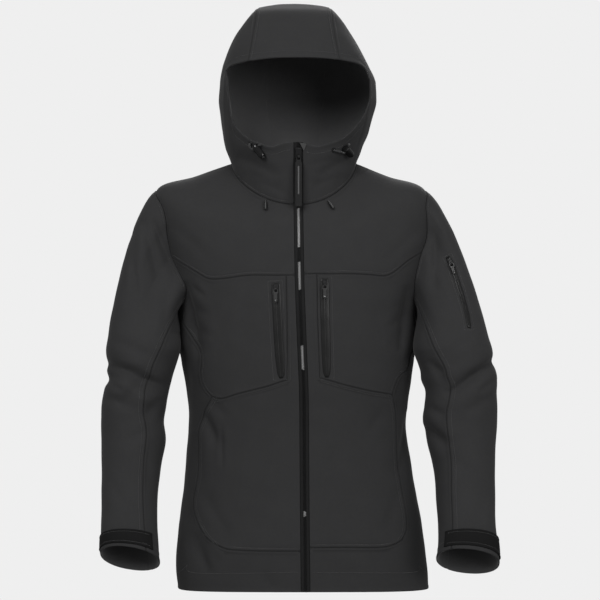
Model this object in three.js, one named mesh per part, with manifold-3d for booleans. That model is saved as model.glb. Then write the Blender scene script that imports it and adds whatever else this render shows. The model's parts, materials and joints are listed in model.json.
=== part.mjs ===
// Hooded softshell jacket in its worn shape, with nobody in it.
// Millimetres, +Z up. The front faces -Y, so +X is the wearer's left arm.
// The origin is in the middle of the neck opening, level with the tops of the shoulders.
import * as THREE from 'three';
import Module from 'manifold-3d';

const wasm = await Module();
wasm.setup();
const { Manifold, CrossSection } = wasm;

// Driving dimensions
const clothWall = 1.6;
const tapeWall = 1.2;
const seamGap = 0.3;
const restGap = 0.45;
const zipHalfWidth = 8;
const cuffTabWall = 1.8;
const foldLip = 0.25;
const foldSquash = 2;
const foldTurn = 60;

// How many mesh steps lie along each seam
const steps = {
  shoulder: 4,
  neckFront: 10,
  neckBackSide: 6,
  neckBackMiddle: 4,
  yokeHeight: 4,
  armholeChest: 3,
  armholeSide: 3,
  armholeBack: 6,
  chestSide: 5,
  lowerSide: 6,
  hemBand: 3,
  sleeveCap: 6,
  sleeveTube: 16,
  faceSide: 8,
  browSide: 3,
  crownSide: 8,
  hoodHeight: 8,
};
const acrossFront = steps.shoulder + steps.neckFront;
const acrossChest = acrossFront - 1;

// Turns a table's rows into objects with its column names.
function table(columns, rows) {
  return rows.map((row) => Object.fromEntries(columns.map((name, i) => [name, row[i]])));
}

// Rings of the body from the neck seam down to the hem: heights at the side, front and back, half sizes,
// how square the ring is, and where the main zip runs.
const bodyRings = table(
  ['zSide', 'zFront', 'zBack', 'left', 'right', 'front', 'back', 'square', 'dip', 'zipX'],
  [
    [0, -75, 14, 114, 100, 100, 72, 2.0, 1.2, 0.5],
    [-23, -100, -14, 180, 157, 112, 90, 2.0, 1.6, 1],
    [-47, -128, -58, 246, 221, 119, 103, 2.1, 2, 1.5],
    [-118, -165, -125, 239, 231, 125, 110, 2.3, 2, 2],
    [-190, -212, -190, 221, 218, 129, 113, 2.35, 2, 3],
    [-262, -268, -262, 203, 201, 131, 113, 2.35, 2, 5],
    [-330, -331, -330, 205, 203, 128, 109, 2.3, 2, 7.5],
    [-378, -378, -378, 197, 197, 124, 104, 2.3, 2, 9.5],
    [-430, -429, -430, 190.5, 190, 118, 100, 2.3, 2, 10.5],
    [-483, -481, -483, 192, 192, 114, 99, 2.3, 2, 10.8],
    [-560, -557, -560, 198.5, 203, 113, 102, 2.3, 2, 11.3],
    [-640, -636, -640, 208.5, 217, 115, 107, 2.3, 2, 12],
    [-700, -695, -702, 212.5, 224.5, 117, 110, 2.3, 2, 12.6],
    [-741, -736, -745, 208, 227, 118, 109, 2.3, 2, 13],
  ],
);
const tipRing = 2;
const underarmRing = 5;
const hemRing = bodyRings.length - 1;

// Seams that are drawn on the rings: angle from the front, and ring.
const neckSpots = [[90, 0], [60, 0], [30, 0]];
const backNeckSpots = [[-90, 0], [-135, 0], [-180, 0], [-225, 0], [-270, 0]];
const backYokeSpots = [[-150, 3.6], [-180, 3.7], [-210, 3.6]];
const sideSpots = [[94, 7], [97, 10], [98, hemRing]];
const hemSpots = [[98, hemRing], [75, hemRing], [40, hemRing]];
const backHemSpots = [[-98, hemRing], [-140, hemRing], [-180, hemRing], [-220, hemRing], [-262, hemRing]];

// Rings of the hood and collar, from below the neck seam up to the crown.
const hoodAxis = { x: -6, y: 12 };
const hoodCentreHeight = 95;
const hoodRings = table(
  ['z', 'left', 'right', 'front', 'back', 'square'],
  [
    [-90, -106, 95, -98, 70, 2.1],
    [-40, -107, 97, -105, 72, 2.1],
    [0, -113, 101, -112, 79, 2.1],
    [30, -122, 108.5, -119, 99, 2.2],
    [55, -127.5, 120, -122, 116, 2.3],
    [84, -132, 129, -125, 128, 2.35],
    [112, -136, 136, -127, 136, 2.4],
    [140, -135.5, 135.5, -129, 141, 2.5],
    [168, -130.5, 124, -131, 142, 2.6],
    [182, -126, 116.5, -126, 141, 2.7],
    [196, -121.5, 108.5, -116, 138, 2.8],
    [224, -109, 93.5, -91, 127, 2.9],
    [245, -96, 81.5, -68, 112, 2.9],
    [259, -86, 72, -48, 96, 2.9],
    [270, -77, 63, -27, 76, 2.8],
    [277, -66, 51, -8, 54, 2.6],
    [280.5, -34, 18, 7, 30, 2.2],
    [281.5, -7, -5, 11, 13, 2],
  ],
);

// Seams on the front, as seen from the front. sign is -1 on photo left and 1 on photo right.
const frontSeams = {
  left: {
    sign: -1,
    armhole: [[-237, -71], [-229, -96], [-226, -122], [-218, -163]],
    armholeLower: [[-206, -188], [-196, -212], [-198, -240]],
    armholeBack: [[-200, -240], [-205, -212], [-214, -180], [-222, -150]],
    armholeBackUpper: [[-229, -118], [-236, -86]],
    yoke: [[-218, -163], [-196, -177], [-173, -191], [-155, -201], [-137, -202.5], [-114, -200], [-80, -196]],
    stripX: { top: -20, bottom: -18 },
    slant: [[-147, -404.5], [-130, -407], [-104, -399], [-54.5, -386], [-18, -374]],
    chestSide: [[-198, -240], [-196, -272], [-183, -303], [-167, -334], [-167, -367], [-161, -388], [-147, -404.5]],
    lowerSide: [[-147, -404.5], [-163, -436], [-171, -470], [-174, -545], [-180, -590], [-168, -630], [-153, -649]],
    lowerHem: [[-153, -649], [-135, -659.5], [-116, -665], [-65, -666.5]],
  },
  right: {
    sign: 1,
    armhole: [[222, -71], [223, -96], [223, -125], [213, -155]],
    armholeLower: [[207, -178], [202, -205], [200, -238]],
    armholeBack: [[198, -240], [203, -212], [210, -180], [216, -150]],
    armholeBackUpper: [[221, -118], [222, -86]],
    yoke: [[213, -155], [188.5, -171], [163, -191], [147, -197], [121, -195], [87, -193.5]],
    stripX: { top: 32, bottom: 38 },
    slant: [[162, -401], [123, -393.5], [80, -383], [38, -371]],
    chestSide: [[200, -238], [198, -290], [194, -333], [188, -357], [175, -368], [166, -386], [162, -401]],
    lowerSide: [[162, -401], [168, -441], [174.5, -541], [181, -577], [187, -628], [179, -651]],
    lowerHem: [[179, -651], [160, -659.5], [137, -662], [80, -660.5]],
  },
};

// The face opening's edge, as seen from the front, from the main zip out and up to its widest place, and from
// there along the brow to the end of the brim.
const faceEdges = {
  left: [[-24, 29.5], [-45, 23.5], [-65, 29.5], [-86, 39], [-107, 61], [-117, 91], [-120, 134], [-124, 157]],
  right: [[29, 24.5], [48, 28], [72, 37], [87, 47.5], [106.5, 70], [118, 91], [124, 114], [124, 142]],
};
const browEdges = {
  left: [[-114, 165], [-84.5, 170]],
  right: [[116, 160], [101, 168], [71, 172]],
};
const brimPoints = [[-45, 173.5], [-4, 174.5], [36, 174]];
const faceTop = 31;
const crownAngles = [-45, -30, -12, 8, 28, 46, 63, 80];
const napeAngles = [100, 118, 134];
const zipOnHood = [-5, -40];

// Half width of the hood's centre strip, from the brim over the crown and down to the neck.
const stripEdges = table(
  ['angle', 'left', 'right'],
  [
    [-58, -84.5, 71],
    [-35, -76, 62],
    [0, -70, 56],
    [40, -64, 51],
    [80, -57, 45],
    [115, -48, 37],
    [150, -40, 29],
  ],
);

// Sleeve rings from the upper arm to the cuff: the ring's outer and inner edge, the height of its middle,
// its middle's depth, half depth, forward lean of its plane and how far the seams turn round it.
const sleeveRings = {
  left: table(
    ['z', 'outer', 'inner', 'y', 'depth', 'lean', 'drop', 'turn'],
    [
      [-330, -330, -204.5, -63, 66, 5, 0, -12],
      [-358, -331, -214, -64, 64, 6, 0, -20],
      [-376, -325, -219, -65, 62, 7, 0, -24],
      [-394, -333, -223.5, -66, 61, 8, 0, -26],
      [-420, -337.5, -228, -67, 60, 12, 0, -24],
      [-446, -338, -232, -69, 58, 15, 0, -20],
      [-480, -337, -228.5, -74, 56, 18, 0, -16],
      [-530, -336, -237, -88, 51, 21, 0, -12],
      [-580, -335, -241, -104, 47, 23, 0, -8],
      [-622, -334, -239.5, -121, 44, 25, 0, -6],
      [-650, -334, -237.5, -131, 42, 30, 3, -4],
      [-676, -334, -235, -139, 41, 34, 7, -4],
    ],
  ),
  right: table(
    ['z', 'outer', 'inner', 'y', 'depth', 'lean', 'drop', 'turn'],
    [
      [-330, 335, 201, -63, 66, 5, 0, -12],
      [-358, 340.5, 211.5, -64, 64, 6, 0, -20],
      [-376, 341, 214, -65, 62, 7, 0, -24],
      [-394, 341, 220, -66, 61, 8, 0, -26],
      [-420, 342.5, 218.5, -67, 60, 12, 0, -24],
      [-446, 342.5, 216, -69, 58, 15, 0, -20],
      [-480, 340, 223.5, -74, 56, 18, 0, -16],
      [-530, 337, 234, -88, 51, 21, 0, -12],
      [-580, 336, 237, -104, 47, 23, 0, -8],
      [-622, 336, 239.5, -121, 44, 25, 0, -6],
      [-650, 339, 239.5, -131, 42, 30, -2, -4],
      [-681, 341, 235.5, -139, 42, 35, -5, -4],
    ],
  ),
};
const sleeveSquare = 2.15;

// How the sleeve leaves the armhole: the drop of its first stretch at the tip, front, underarm and back.
const capLeave = { tip: 20, side: 48, under: 18, reach: 0.4, land: 0.75 };

// The largest folds: troughs as seen from the front, with their depth and half width.
const folds = table(
  ['part', 'side', 'x0', 'z0', 'x1', 'z1', 'depth', 'width'],
  [
    ['body', 'front', -195, -205, -167, -335, 5, 12],
    ['body', 'front', -164, -436, -136, -490, 4, 10],
    ['body', 'front', -184, -640, -150, -716, 4, 13],
    ['body', 'front', 188, -214, 176, -330, 4, 12],
    ['body', 'front', 196, -430, 176, -540, 4, 13],
    ['body', 'back', -178, -222, -104, -336, 5, 15],
    ['body', 'back', 178, -222, 110, -340, 5, 15],
    ['body', 'back', -130, -452, 122, -438, 4, 17],
    ['left', 'front', -252, -98, -207, -198, 7, 11],
    ['left', 'front', -266, -100, -238, -208, 5, 10],
    ['left', 'front', -345, -340, -226, -388, 7, 13],
    ['left', 'front', -250, -366, -306, -418, 5, 12],
    ['left', 'back', -345, -352, -232, -384, 7, 14],
    ['left', 'back', -240, -110, -262, -232, 5, 13],
    ['right', 'front', 352, -334, 250, -402, 7, 12],
    ['right', 'front', 218, -98, 208, -198, 5, 11],
    ['right', 'front', 242, -112, 234, -224, 5, 11],
    ['right', 'front', 214, -454, 258, -488, 6, 11],
    ['right', 'back', 352, -348, 236, -396, 7, 14],
    ['right', 'back', 236, -110, 258, -232, 5, 13],
    ['hood', 'front', -104, 12, -30, -28, 3.5, 9],
    ['hood', 'front', 32, -26, 88, 8, 3.5, 9],
    ['hood', 'front', -124, 128, -112, 62, 3, 9],
    ['hood', 'back', -84, 52, 80, 44, 4, 14],
  ],
);

// Zips that lie on a panel: rows from the top down, the middle as seen from the front, and the half width.
const zipPaths = {
  chestLeft: [[-37.6, -208.5, 5], [-37.4, -211, 7.2], [-37, -220, 7.75], [-35.5, -255, 7.75], [-33.5, -295, 7.75],
    [-31, -335, 7.5], [-29, -362, 6.2], [-28.4, -371, 3.2]],
  chestRight: [[45, -201.5, 5], [45.1, -204, 7.2], [45.3, -213, 7.75], [46, -250, 7.75], [47, -290, 7.75],
    [48.2, -335, 7.5], [49, -361, 6.2], [49.3, -369.5, 3.2]],
  sleeve: [[258.5, -163.8, 3.4], [260.5, -168, 4.6], [267, -184, 4.6], [272.8, -203, 4.6], [282.2, -234, 4.6],
    [289, -262, 4.6], [291.6, -281, 4.2], [291.8, -286, 2.6]],
};
const zipTapeStep = 10;

// Sliders and their pulls. y is how far the pull's hinge lies along the zip from the slider's middle.
const pulls = {
  main: { x: 0.8, z: 12, width: 11.5, length: 20, height: 3.4, y: -5, reach: 84, grip: 11, gripTop: 9, pad: 2.8,
    bulb: 0 },
  chestLeft: { x: -37.2, z: -217, width: 9.5, length: 14, height: 2.8, y: -3, reach: 23, grip: 5.2, gripTop: 6,
    pad: 2.2, bulb: 3.3 },
  chestRight: { x: 45.2, z: -210.5, width: 9.5, length: 14, height: 2.8, y: -3, reach: 23, grip: 5.2, gripTop: 6,
    pad: 2.2, bulb: 3.3 },
  sleeve: { x: 264, z: -175, width: 7.5, length: 11, height: 2.6, y: -2, reach: 19, grip: 4.4, gripTop: 6, pad: 2,
    bulb: 2.7 },
};
const hinge = { inner: 1.9, outer: 3.5, width: 3.6, bar: 0.85, sideBar: 1.5, play: 0.7, eyeEnd: 4.6, sunk: 0.5 };
const sliderShape = { corner: 2.5, base: 0.6, lid: 0.4, lidInset: 1, lidCorner: 2 };
const pullShape = { eyeCorner: 0.8, overlap: 1, corner: 2.5, edge: 0.3, bulbLong: 1.15, bulbFlat: 0.8 };

// Cuff tab: how far round the sleeve it runs, in degrees from the outer edge, and its ends in sleeve rings.
const cuffTab = { from: 0, to: 142, upper: 9.78, lower: 10.78, tipEnd: -24, tipGap: 1.2, tipWall: 2.6 };

// Hood cord locks: eyelet, the top end of the barrel and the way it points, as seen from the front.
const cordLocks = {
  left: { eyelet: [-81, 29.5], top: [-71.5, 28], towards: [0.622, -0.783], radius: 6, length: 24 },
  right: { eyelet: [60.8, 19], top: [71, 26], towards: [0.855, -0.518], radius: 6.6, length: 24 },
};
const lock = { boreAt: 4.5, boreRadius: 2.1, cordRadius: 1.5, pocket: 9.5, buttonRadius: 3.6, buttonPlay: 0.45,
  buttonOut: 4.5, buttonIn: 6.4 };
const eyelet = { radius: 4.2, hole: 2.5, floor: 0.8, height: 2 };

// Moulded cord ends below the neck seam: their top and bottom as seen from the front.
const neckCords = {
  left: { top: [-54.8, -70], bottom: [-54.8, -86] },
  right: { top: [51.8, -70.5], bottom: [60.5, -84] },
};
const neckCordEnd = { radius: 2.75, neckRadius: 1.7, neckLength: 4 };

// Garage flap over the top of the main zip: corners as seen from the front, top edge first.
const garageFlap = { wall: 1.1, top: [[2.6, 30.4], [14.4, 28.4]], bottom: [[9.2, 18], [10.4, 17.6]], rows: 4,
  columns: 4 };

// Interpolation helpers
function catmullRom(p0, p1, p2, p3, t) {
  const t2 = t * t;
  const t3 = t2 * t;
  return 0.5 * (2 * p1 + (p2 - p0) * t + (2 * p0 - 5 * p1 + 4 * p2 - p3) * t2 + (3 * p1 - p0 - 3 * p2 + p3) * t3);
}

// Reads one table column at a fractional row.
function column(rows, name, at) {
  const last = rows.length - 1;
  const i = Math.max(0, Math.min(last - 1, Math.floor(at)));
  const value = (k) => rows[k][name];
  const before = i > 0 ? value(i - 1) : 2 * value(i) - value(i + 1);
  const after = i + 2 <= last ? value(i + 2) : 2 * value(i + 1) - value(i);
  return catmullRom(before, value(i), value(i + 1), after, at - i);
}

// Monotone cubic through a column against an increasing key.
function monotone(rows, key, name, at) {
  const last = rows.length - 1;
  const x = (i) => rows[i][key];
  const slope = (i) => (rows[i + 1][name] - rows[i][name]) / (x(i + 1) - x(i));
  const tangent = (i) => {
    if (i === 0) return slope(0);
    if (i === last) return slope(last - 1);
    const a = slope(i - 1);
    const b = slope(i);
    return a * b <= 0 ? 0 : (2 * a * b) / (a + b);
  };
  const clamped = Math.max(x(0), Math.min(x(last), at));
  let i = 0;
  while (i < last - 1 && clamped > x(i + 1)) i += 1;
  const h = x(i + 1) - x(i);
  const t = (clamped - x(i)) / h;
  const rise = rows[i + 1][name] - rows[i][name];
  const m0 = tangent(i) * h;
  const m1 = tangent(i + 1) * h;
  return rows[i][name] + m0 * t + (3 * rise - 2 * m0 - m1) * t * t + (m0 + m1 - 2 * rise) * t * t * t;
}

function signedPower(value, power) {
  return Math.sign(value) * Math.abs(value) ** power;
}

const radians = THREE.MathUtils.degToRad;

// A point of the body. angle is 0 at the front, 90 at photo right, 180 at the back; ring counts table rows.
function bodyPoint(angle, ring) {
  const get = (name) => column(bodyRings, name, ring);
  const sin = Math.sin(radians(angle));
  const cos = Math.cos(radians(angle));
  const power = 2 / get('square');
  const half = sin < 0 ? get('left') : get('right');
  const depth = cos > 0 ? get('front') : get('back');
  const zEnd = cos > 0 ? get('zFront') : get('zBack');
  const blend = Math.abs(cos) ** get('dip');
  return new THREE.Vector3(
    half * signedPower(sin, power),
    -depth * signedPower(cos, power),
    get('zSide') + (zEnd - get('zSide')) * blend,
  );
}

// Finds where a line of sight from the front (or from the back) meets the body, as {angle, ring}.
function bodySpot(x, z, back = false) {
  const angleAt = (ring) => {
    let low = 0;
    let high = 90;
    for (let i = 0; i < 30; i += 1) {
      const middle = (low + high) / 2;
      if (Math.abs(bodyPoint(Math.sign(x) * middle, ring).x) < Math.abs(x)) low = middle;
      else high = middle;
    }
    const side = (low + high) / 2;
    return Math.sign(x) * (back ? 180 - side : side);
  };
  let top = 0;
  let bottom = hemRing;
  for (let i = 0; i < 30; i += 1) {
    const middle = (top + bottom) / 2;
    if (bodyPoint(angleAt(middle), middle).z > z) top = middle;
    else bottom = middle;
  }
  const ring = (top + bottom) / 2;
  return { angle: angleAt(ring), ring };
}

// The spot on a ring of the body at a given x on the front.
function spotAtX(x, ring) {
  let low = -89;
  let high = 89;
  for (let i = 0; i < 40; i += 1) {
    const middle = (low + high) / 2;
    if (bodyPoint(middle, ring).x < x) low = middle;
    else high = middle;
  }
  return { angle: (low + high) / 2, ring };
}

// How deep the folds of one part are at a place seen from the front. frontness is 1 in front and 0 behind.
function foldDepth(part, x, z, frontness) {
  let total = 0;
  for (const fold of folds) {
    const dx = fold.x1 - fold.x0;
    const dz = fold.z1 - fold.z0;
    const length = Math.hypot(dx, dz);
    const along = ((x - fold.x0) * dx + (z - fold.z0) * dz) / length ** 2;
    if (fold.part === part && along > 0 && along < 1) {
      const off = Math.abs((x - fold.x0) * dz - (z - fold.z0) * dx) / length / fold.width;
      const trough = Math.exp(-off * off) - foldLip * Math.exp(-((off - 2) ** 2));
      const weight = fold.side === 'front' ? frontness : 1 - frontness;
      total += weight * fold.depth * Math.sqrt(Math.sin(Math.PI * along)) * trough;
    }
  }
  return total;
}

// Presses the folds of one part into a point, towards the part's middle line.
function pressFolds(part, point, middle) {
  const inward = new THREE.Vector3(middle.x - point.x, foldSquash * (middle.y - point.y), 0).normalize();
  const frontness = THREE.MathUtils.clamp(0.5 + (middle.y - point.y) / foldTurn, 0, 1);
  return point.clone().addScaledVector(inward, foldDepth(part, point.x, point.z, frontness));
}

const bodyMiddle = new THREE.Vector3(0, 0, 0);
const spotPoint = (spot) => pressFolds('body', bodyPoint(spot.angle, spot.ring), bodyMiddle);

// Smooth curve through control values, sampled evenly by length; point() places a control value in space.
function sampleSmooth(controls, count, mix, point) {
  const fine = 24;
  const dense = [];
  const last = controls.length - 1;
  for (let i = 0; i < last; i += 1) {
    for (let k = 0; k < fine; k += 1) dense.push(mix(controls, i, k / fine));
  }
  dense.push(controls[last]);
  const lengths = [0];
  for (let i = 1; i < dense.length; i += 1) {
    lengths.push(lengths[i - 1] + point(dense[i]).distanceTo(point(dense[i - 1])));
  }
  const total = lengths[lengths.length - 1];
  const samples = [controls[0]];
  let j = 1;
  for (let k = 1; k < count; k += 1) {
    const target = (total * k) / count;
    while (lengths[j] < target) j += 1;
    const t = (target - lengths[j - 1]) / (lengths[j] - lengths[j - 1]);
    samples.push(mix([dense[j - 1], dense[j]], 0, t));
  }
  samples.push(controls[last]);
  return samples;
}

function mixSpots(controls, i, t) {
  const last = controls.length - 1;
  const at = (name, k) => controls[Math.max(0, Math.min(last, k))][name];
  const value = (name) => {
    const a = at(name, i);
    const b = at(name, i + 1);
    const before = i > 0 ? at(name, i - 1) : 2 * a - b;
    const after = i + 2 <= last ? at(name, i + 2) : 2 * b - a;
    return catmullRom(before, a, b, after, t);
  };
  return { angle: value('angle'), ring: value('ring') };
}

const sampleSpots = (controls, count) => sampleSmooth(controls, count, mixSpots, spotPoint);
const joinRuns = (...runs) => runs.flatMap((run, i) => (i ? run.slice(1) : run));

// Fills a patch between four sampled sides. top and bottom run one way, start and end the other.
function coons(top, bottom, start, end, blend) {
  const nu = top.length - 1;
  const nv = start.length - 1;
  const grid = [];
  for (let j = 0; j <= nv; j += 1) {
    const line = [];
    for (let i = 0; i <= nu; i += 1) line.push(blend(i / nu, j / nv, i, j));
    grid.push(line);
  }
  for (let i = 0; i <= nu; i += 1) {
    grid[0][i] = top[i];
    grid[nv][i] = bottom[i];
  }
  for (let j = 0; j <= nv; j += 1) {
    grid[j][0] = start[j];
    grid[j][nu] = end[j];
  }
  return grid;
}

function coonsValue(get, top, bottom, start, end, u, v, i, j) {
  const last = top.length - 1;
  return (
    (1 - v) * get(top[i]) + v * get(bottom[i]) + (1 - u) * get(start[j]) + u * get(end[j])
    - (1 - u) * (1 - v) * get(top[0]) - u * (1 - v) * get(top[last])
    - (1 - u) * v * get(bottom[0]) - u * v * get(bottom[last])
  );
}

function spotPatch(top, bottom, start, end) {
  const part = (name) => (u, v, i, j) => coonsValue((spot) => spot[name], top, bottom, start, end, u, v, i, j);
  const angle = part('angle');
  const ring = part('ring');
  const spots = coons(top, bottom, start, end, (u, v, i, j) => ({
    angle: angle(u, v, i, j),
    ring: ring(u, v, i, j),
  }));
  return spots.map((line) => line.map(spotPoint));
}

function pointPatch(top, bottom, start, end) {
  const part = (name) => (u, v, i, j) => coonsValue((point) => point[name], top, bottom, start, end, u, v, i, j);
  const [x, y, z] = ['x', 'y', 'z'].map(part);
  return coons(top, bottom, start, end, (u, v, i, j) => (
    new THREE.Vector3(x(u, v, i, j), y(u, v, i, j), z(u, v, i, j))
  ));
}

// The hood's surface. Negative inside.
function hoodField(point) {
  const top = hoodRings[hoodRings.length - 1].z;
  if (point.z >= top) return 1;
  const get = (name) => monotone(hoodRings, 'z', name, point.z);
  const half = point.x < hoodAxis.x ? hoodAxis.x - get('left') : get('right') - hoodAxis.x;
  const depth = point.y < hoodAxis.y ? hoodAxis.y - get('front') : get('back') - hoodAxis.y;
  const n = get('square');
  return (Math.abs(point.x - hoodAxis.x) / half) ** n + (Math.abs(point.y - hoodAxis.y) / depth) ** n - 1;
}

function hoodCast(from, direction) {
  let low = 0;
  let high = 400;
  for (let i = 0; i < 40; i += 1) {
    const middle = (low + high) / 2;
    const point = from.clone().addScaledVector(direction, middle);
    if (hoodField(point) < 0) low = middle;
    else high = middle;
  }
  return from.clone().addScaledVector(direction, (low + high) / 2);
}

// Moves a nearby point onto the hood.
function hoodProject(point) {
  const centre = new THREE.Vector3(hoodAxis.x, hoodAxis.y, Math.min(point.z, hoodCentreHeight));
  return hoodCast(centre, point.clone().sub(centre).normalize());
}

const hoodMiddle = new THREE.Vector3(hoodAxis.x, hoodAxis.y, hoodCentreHeight);
const hoodFront = (x, z) => hoodCast(new THREE.Vector3(x, hoodAxis.y, z), new THREE.Vector3(0, -1, 0));

// A point of the hood's centre strip: x across it, angle from -90 at the front over 0 at the crown to the back.
function hoodOver(x, angle) {
  const direction = new THREE.Vector3(0, Math.sin(radians(angle)), Math.cos(radians(angle)));
  return hoodCast(new THREE.Vector3(x, hoodAxis.y, hoodCentreHeight), direction);
}

// Fits a patch to the hood while its four sides stay where they are.
function hoodPatch(top, bottom, start, end) {
  const raw = pointPatch(top, bottom, start, end);
  const offset = (point) => point.clone().sub(hoodProject(point));
  const shift = pointPatch(top.map(offset), bottom.map(offset), start.map(offset), end.map(offset));
  return raw.map((line, j) => line.map((point, i) => {
    const edge = i === 0 || j === 0 || i === line.length - 1 || j === raw.length - 1;
    return edge ? point : pressFolds('hood', hoodProject(point).add(shift[j][i]), hoodMiddle);
  }));
}

// The sleeve's ring at a fractional row, at an angle that is 0 at the outer edge and 90 at the front.
function sleevePoint(rings, sign, row, angle) {
  const get = (name) => column(rings, name, row);
  const half = Math.abs(get('outer') - get('inner')) / 2;
  const middle = (get('outer') + get('inner')) / 2;
  const turned = radians(angle + get('turn') * Math.sin(radians(angle)) ** 2);
  const across = half * signedPower(Math.cos(turned), 2 / sleeveSquare);
  const forward = get('depth') * signedPower(Math.sin(turned), 2 / sleeveSquare);
  const lean = radians(get('lean'));
  return new THREE.Vector3(
    middle + sign * across,
    get('y') - forward * Math.cos(lean),
    get('z') + forward * Math.sin(lean) + (get('drop') * across) / half,
  );
}

// One sleeve as rows of points from the armhole to the cuff. Its columns follow the armhole's samples.
function sleeveGrid(name, armhole) {
  const rings = sleeveRings[name];
  const { sign } = frontSeams[name];
  const count = armhole.length - 1;
  const grid = [armhole.map(spotPoint)];
  for (let k = 1; k <= steps.sleeveCap + steps.sleeveTube; k += 1) {
    const line = [];
    for (let i = 0; i <= count; i += 1) {
      const angle = (360 * i) / count;
      if (k > steps.sleeveCap) {
        const row = ((rings.length - 1) * (k - steps.sleeveCap)) / steps.sleeveTube;
        line.push(sleevePoint(rings, sign, row, angle));
      } else {
        line.push(capPoint(grid[0][i], rings, sign, angle, k / steps.sleeveCap));
      }
    }
    const middle = line[0].clone().add(line[count / 2]).multiplyScalar(0.5);
    grid.push(line.map((point) => pressFolds(name, point, middle)));
  }
  return grid;
}

// A point between the armhole and the first full ring.
function capPoint(from, rings, sign, angle, t) {
  const to = sleevePoint(rings, sign, 0, angle);
  const next = sleevePoint(rings, sign, 0.5, angle);
  const reach = from.distanceTo(to);
  const across = Math.cos(radians(angle));
  const drop = across > 0
    ? THREE.MathUtils.lerp(capLeave.side, capLeave.tip, across)
    : THREE.MathUtils.lerp(capLeave.side, capLeave.under, -across);
  const leave = new THREE.Vector3(
    sign * Math.cos(radians(drop)),
    -0.35 * Math.sin(radians(angle)),
    -Math.sin(radians(drop)),
  ).normalize().multiplyScalar(reach * capLeave.reach);
  const land = next.sub(to).normalize().multiplyScalar(reach * capLeave.land);
  const t2 = t * t;
  const t3 = t2 * t;
  return from.clone().multiplyScalar(2 * t3 - 3 * t2 + 1)
    .addScaledVector(leave, t3 - 2 * t2 + t)
    .addScaledVector(to, 3 * t2 - 2 * t3)
    .addScaledVector(land, t3 - t2);
}

// Every sampled seam of one half of the body.
function bodySeams(name) {
  const seams = frontSeams[name];
  const { sign } = seams;
  const front = (pairs) => pairs.map(([x, z]) => bodySpot(x, z));
  const back = (pairs) => pairs.map(([x, z]) => bodySpot(x, z, true));
  const tip = { angle: 90 * sign, ring: tipRing };
  const under = { angle: 90 * sign, ring: underarmRing };
  const yokeEnd = bodySpot(...seams.armhole[seams.armhole.length - 1]);
  const zipSpot = (ring) => spotAtX(column(bodyRings, 'zipX', ring) + sign * zipHalfWidth, ring);
  const ringAtZip = (z) => bodySpot(sign * zipHalfWidth + 0.1, z).ring;
  const yokeSpots = front(seams.yoke);
  const chestStart = bodySpot(...seams.chestSide[0]);
  const corner = bodySpot(...seams.slant[0]);
  const lowerCorner = bodySpot(...seams.lowerHem[0]);
  const stripTop = bodySpot(seams.stripX.top, seams.yoke[seams.yoke.length - 1][1]);
  const stripBottom = bodySpot(...seams.slant[seams.slant.length - 1]);
  const zipRings = {
    yoke: stripTop.ring,
    strip: stripBottom.ring,
    lower: ringAtZip(seams.lowerHem[seams.lowerHem.length - 1][1]),
  };
  const zipRun = (from, to, count) => {
    const spots = [];
    for (let k = 0; k <= count; k += 1) spots.push(zipSpot(from + ((to - from) * k) / count));
    return spots;
  };
  const drawn = (spots) => spots.map(([angle, ring]) => ({ angle: angle * sign, ring }));
  const run = {
    shoulder: sampleSpots([tip, { angle: 90 * sign, ring: 1 }, { angle: 90 * sign, ring: 0 }], steps.shoulder),
    neck: sampleSpots([...drawn(neckSpots), zipSpot(0)], steps.neckFront),
    armholeYoke: sampleSpots([tip, ...front(seams.armhole)], steps.yokeHeight),
    armholeChest: sampleSpots([yokeEnd, ...front(seams.armholeLower)], steps.armholeChest),
    armholeSide: sampleSpots([chestStart, under], steps.armholeSide),
    armholeBack: sampleSpots([under, ...back(seams.armholeBack)], steps.armholeBack),
    armholeBackYoke: sampleSpots([back(seams.armholeBack).pop(), ...back(seams.armholeBackUpper), tip],
      steps.yokeHeight),
    yoke: joinRuns(sampleSpots([...yokeSpots, stripTop], acrossChest), [stripTop, zipSpot(zipRings.yoke)]),
    zipYoke: zipRun(0, zipRings.yoke, steps.yokeHeight),
    strip: sampleSpots([stripTop, stripBottom], steps.armholeChest + steps.chestSide),
    zipStrip: zipRun(zipRings.yoke, zipRings.strip, steps.armholeChest + steps.chestSide),
    chestSide: sampleSpots(front(seams.chestSide), steps.chestSide),
    slant: joinRuns(sampleSpots([corner, ...front(seams.slant.slice(1))], acrossChest),
      [stripBottom, zipSpot(zipRings.strip)]),
    lowerSide: sampleSpots([corner, ...front(seams.lowerSide.slice(1))], steps.lowerSide),
    lowerHem: sampleSpots([lowerCorner, ...front(seams.lowerHem.slice(1)), zipSpot(zipRings.lower)], acrossFront),
    zipLower: zipRun(zipRings.strip, zipRings.lower, steps.lowerSide),
    zipHem: zipRun(zipRings.lower, hemRing, steps.hemBand),
    sideSeam: sampleSpots([under, ...drawn(sideSpots)], steps.chestSide + steps.lowerSide),
    hem: sampleSpots([...drawn(hemSpots), zipSpot(hemRing)], acrossFront),
  };
  run.armhole = joinRuns(run.armholeYoke, run.armholeChest, run.armholeSide, run.armholeBack, run.armholeBackYoke);
  run.zip = joinRuns(run.zipYoke, run.zipStrip, run.zipLower, run.zipHem);
  return run;
}

const reversed = (list) => [...list].reverse();

// Cloth pieces are collected as patches of points on the middle of the wall.
const clothPieces = [];

function addCloth(name, patches, material, outward, wall = clothWall) {
  clothPieces.push({ name, patches, material, outward, wall });
}

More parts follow.
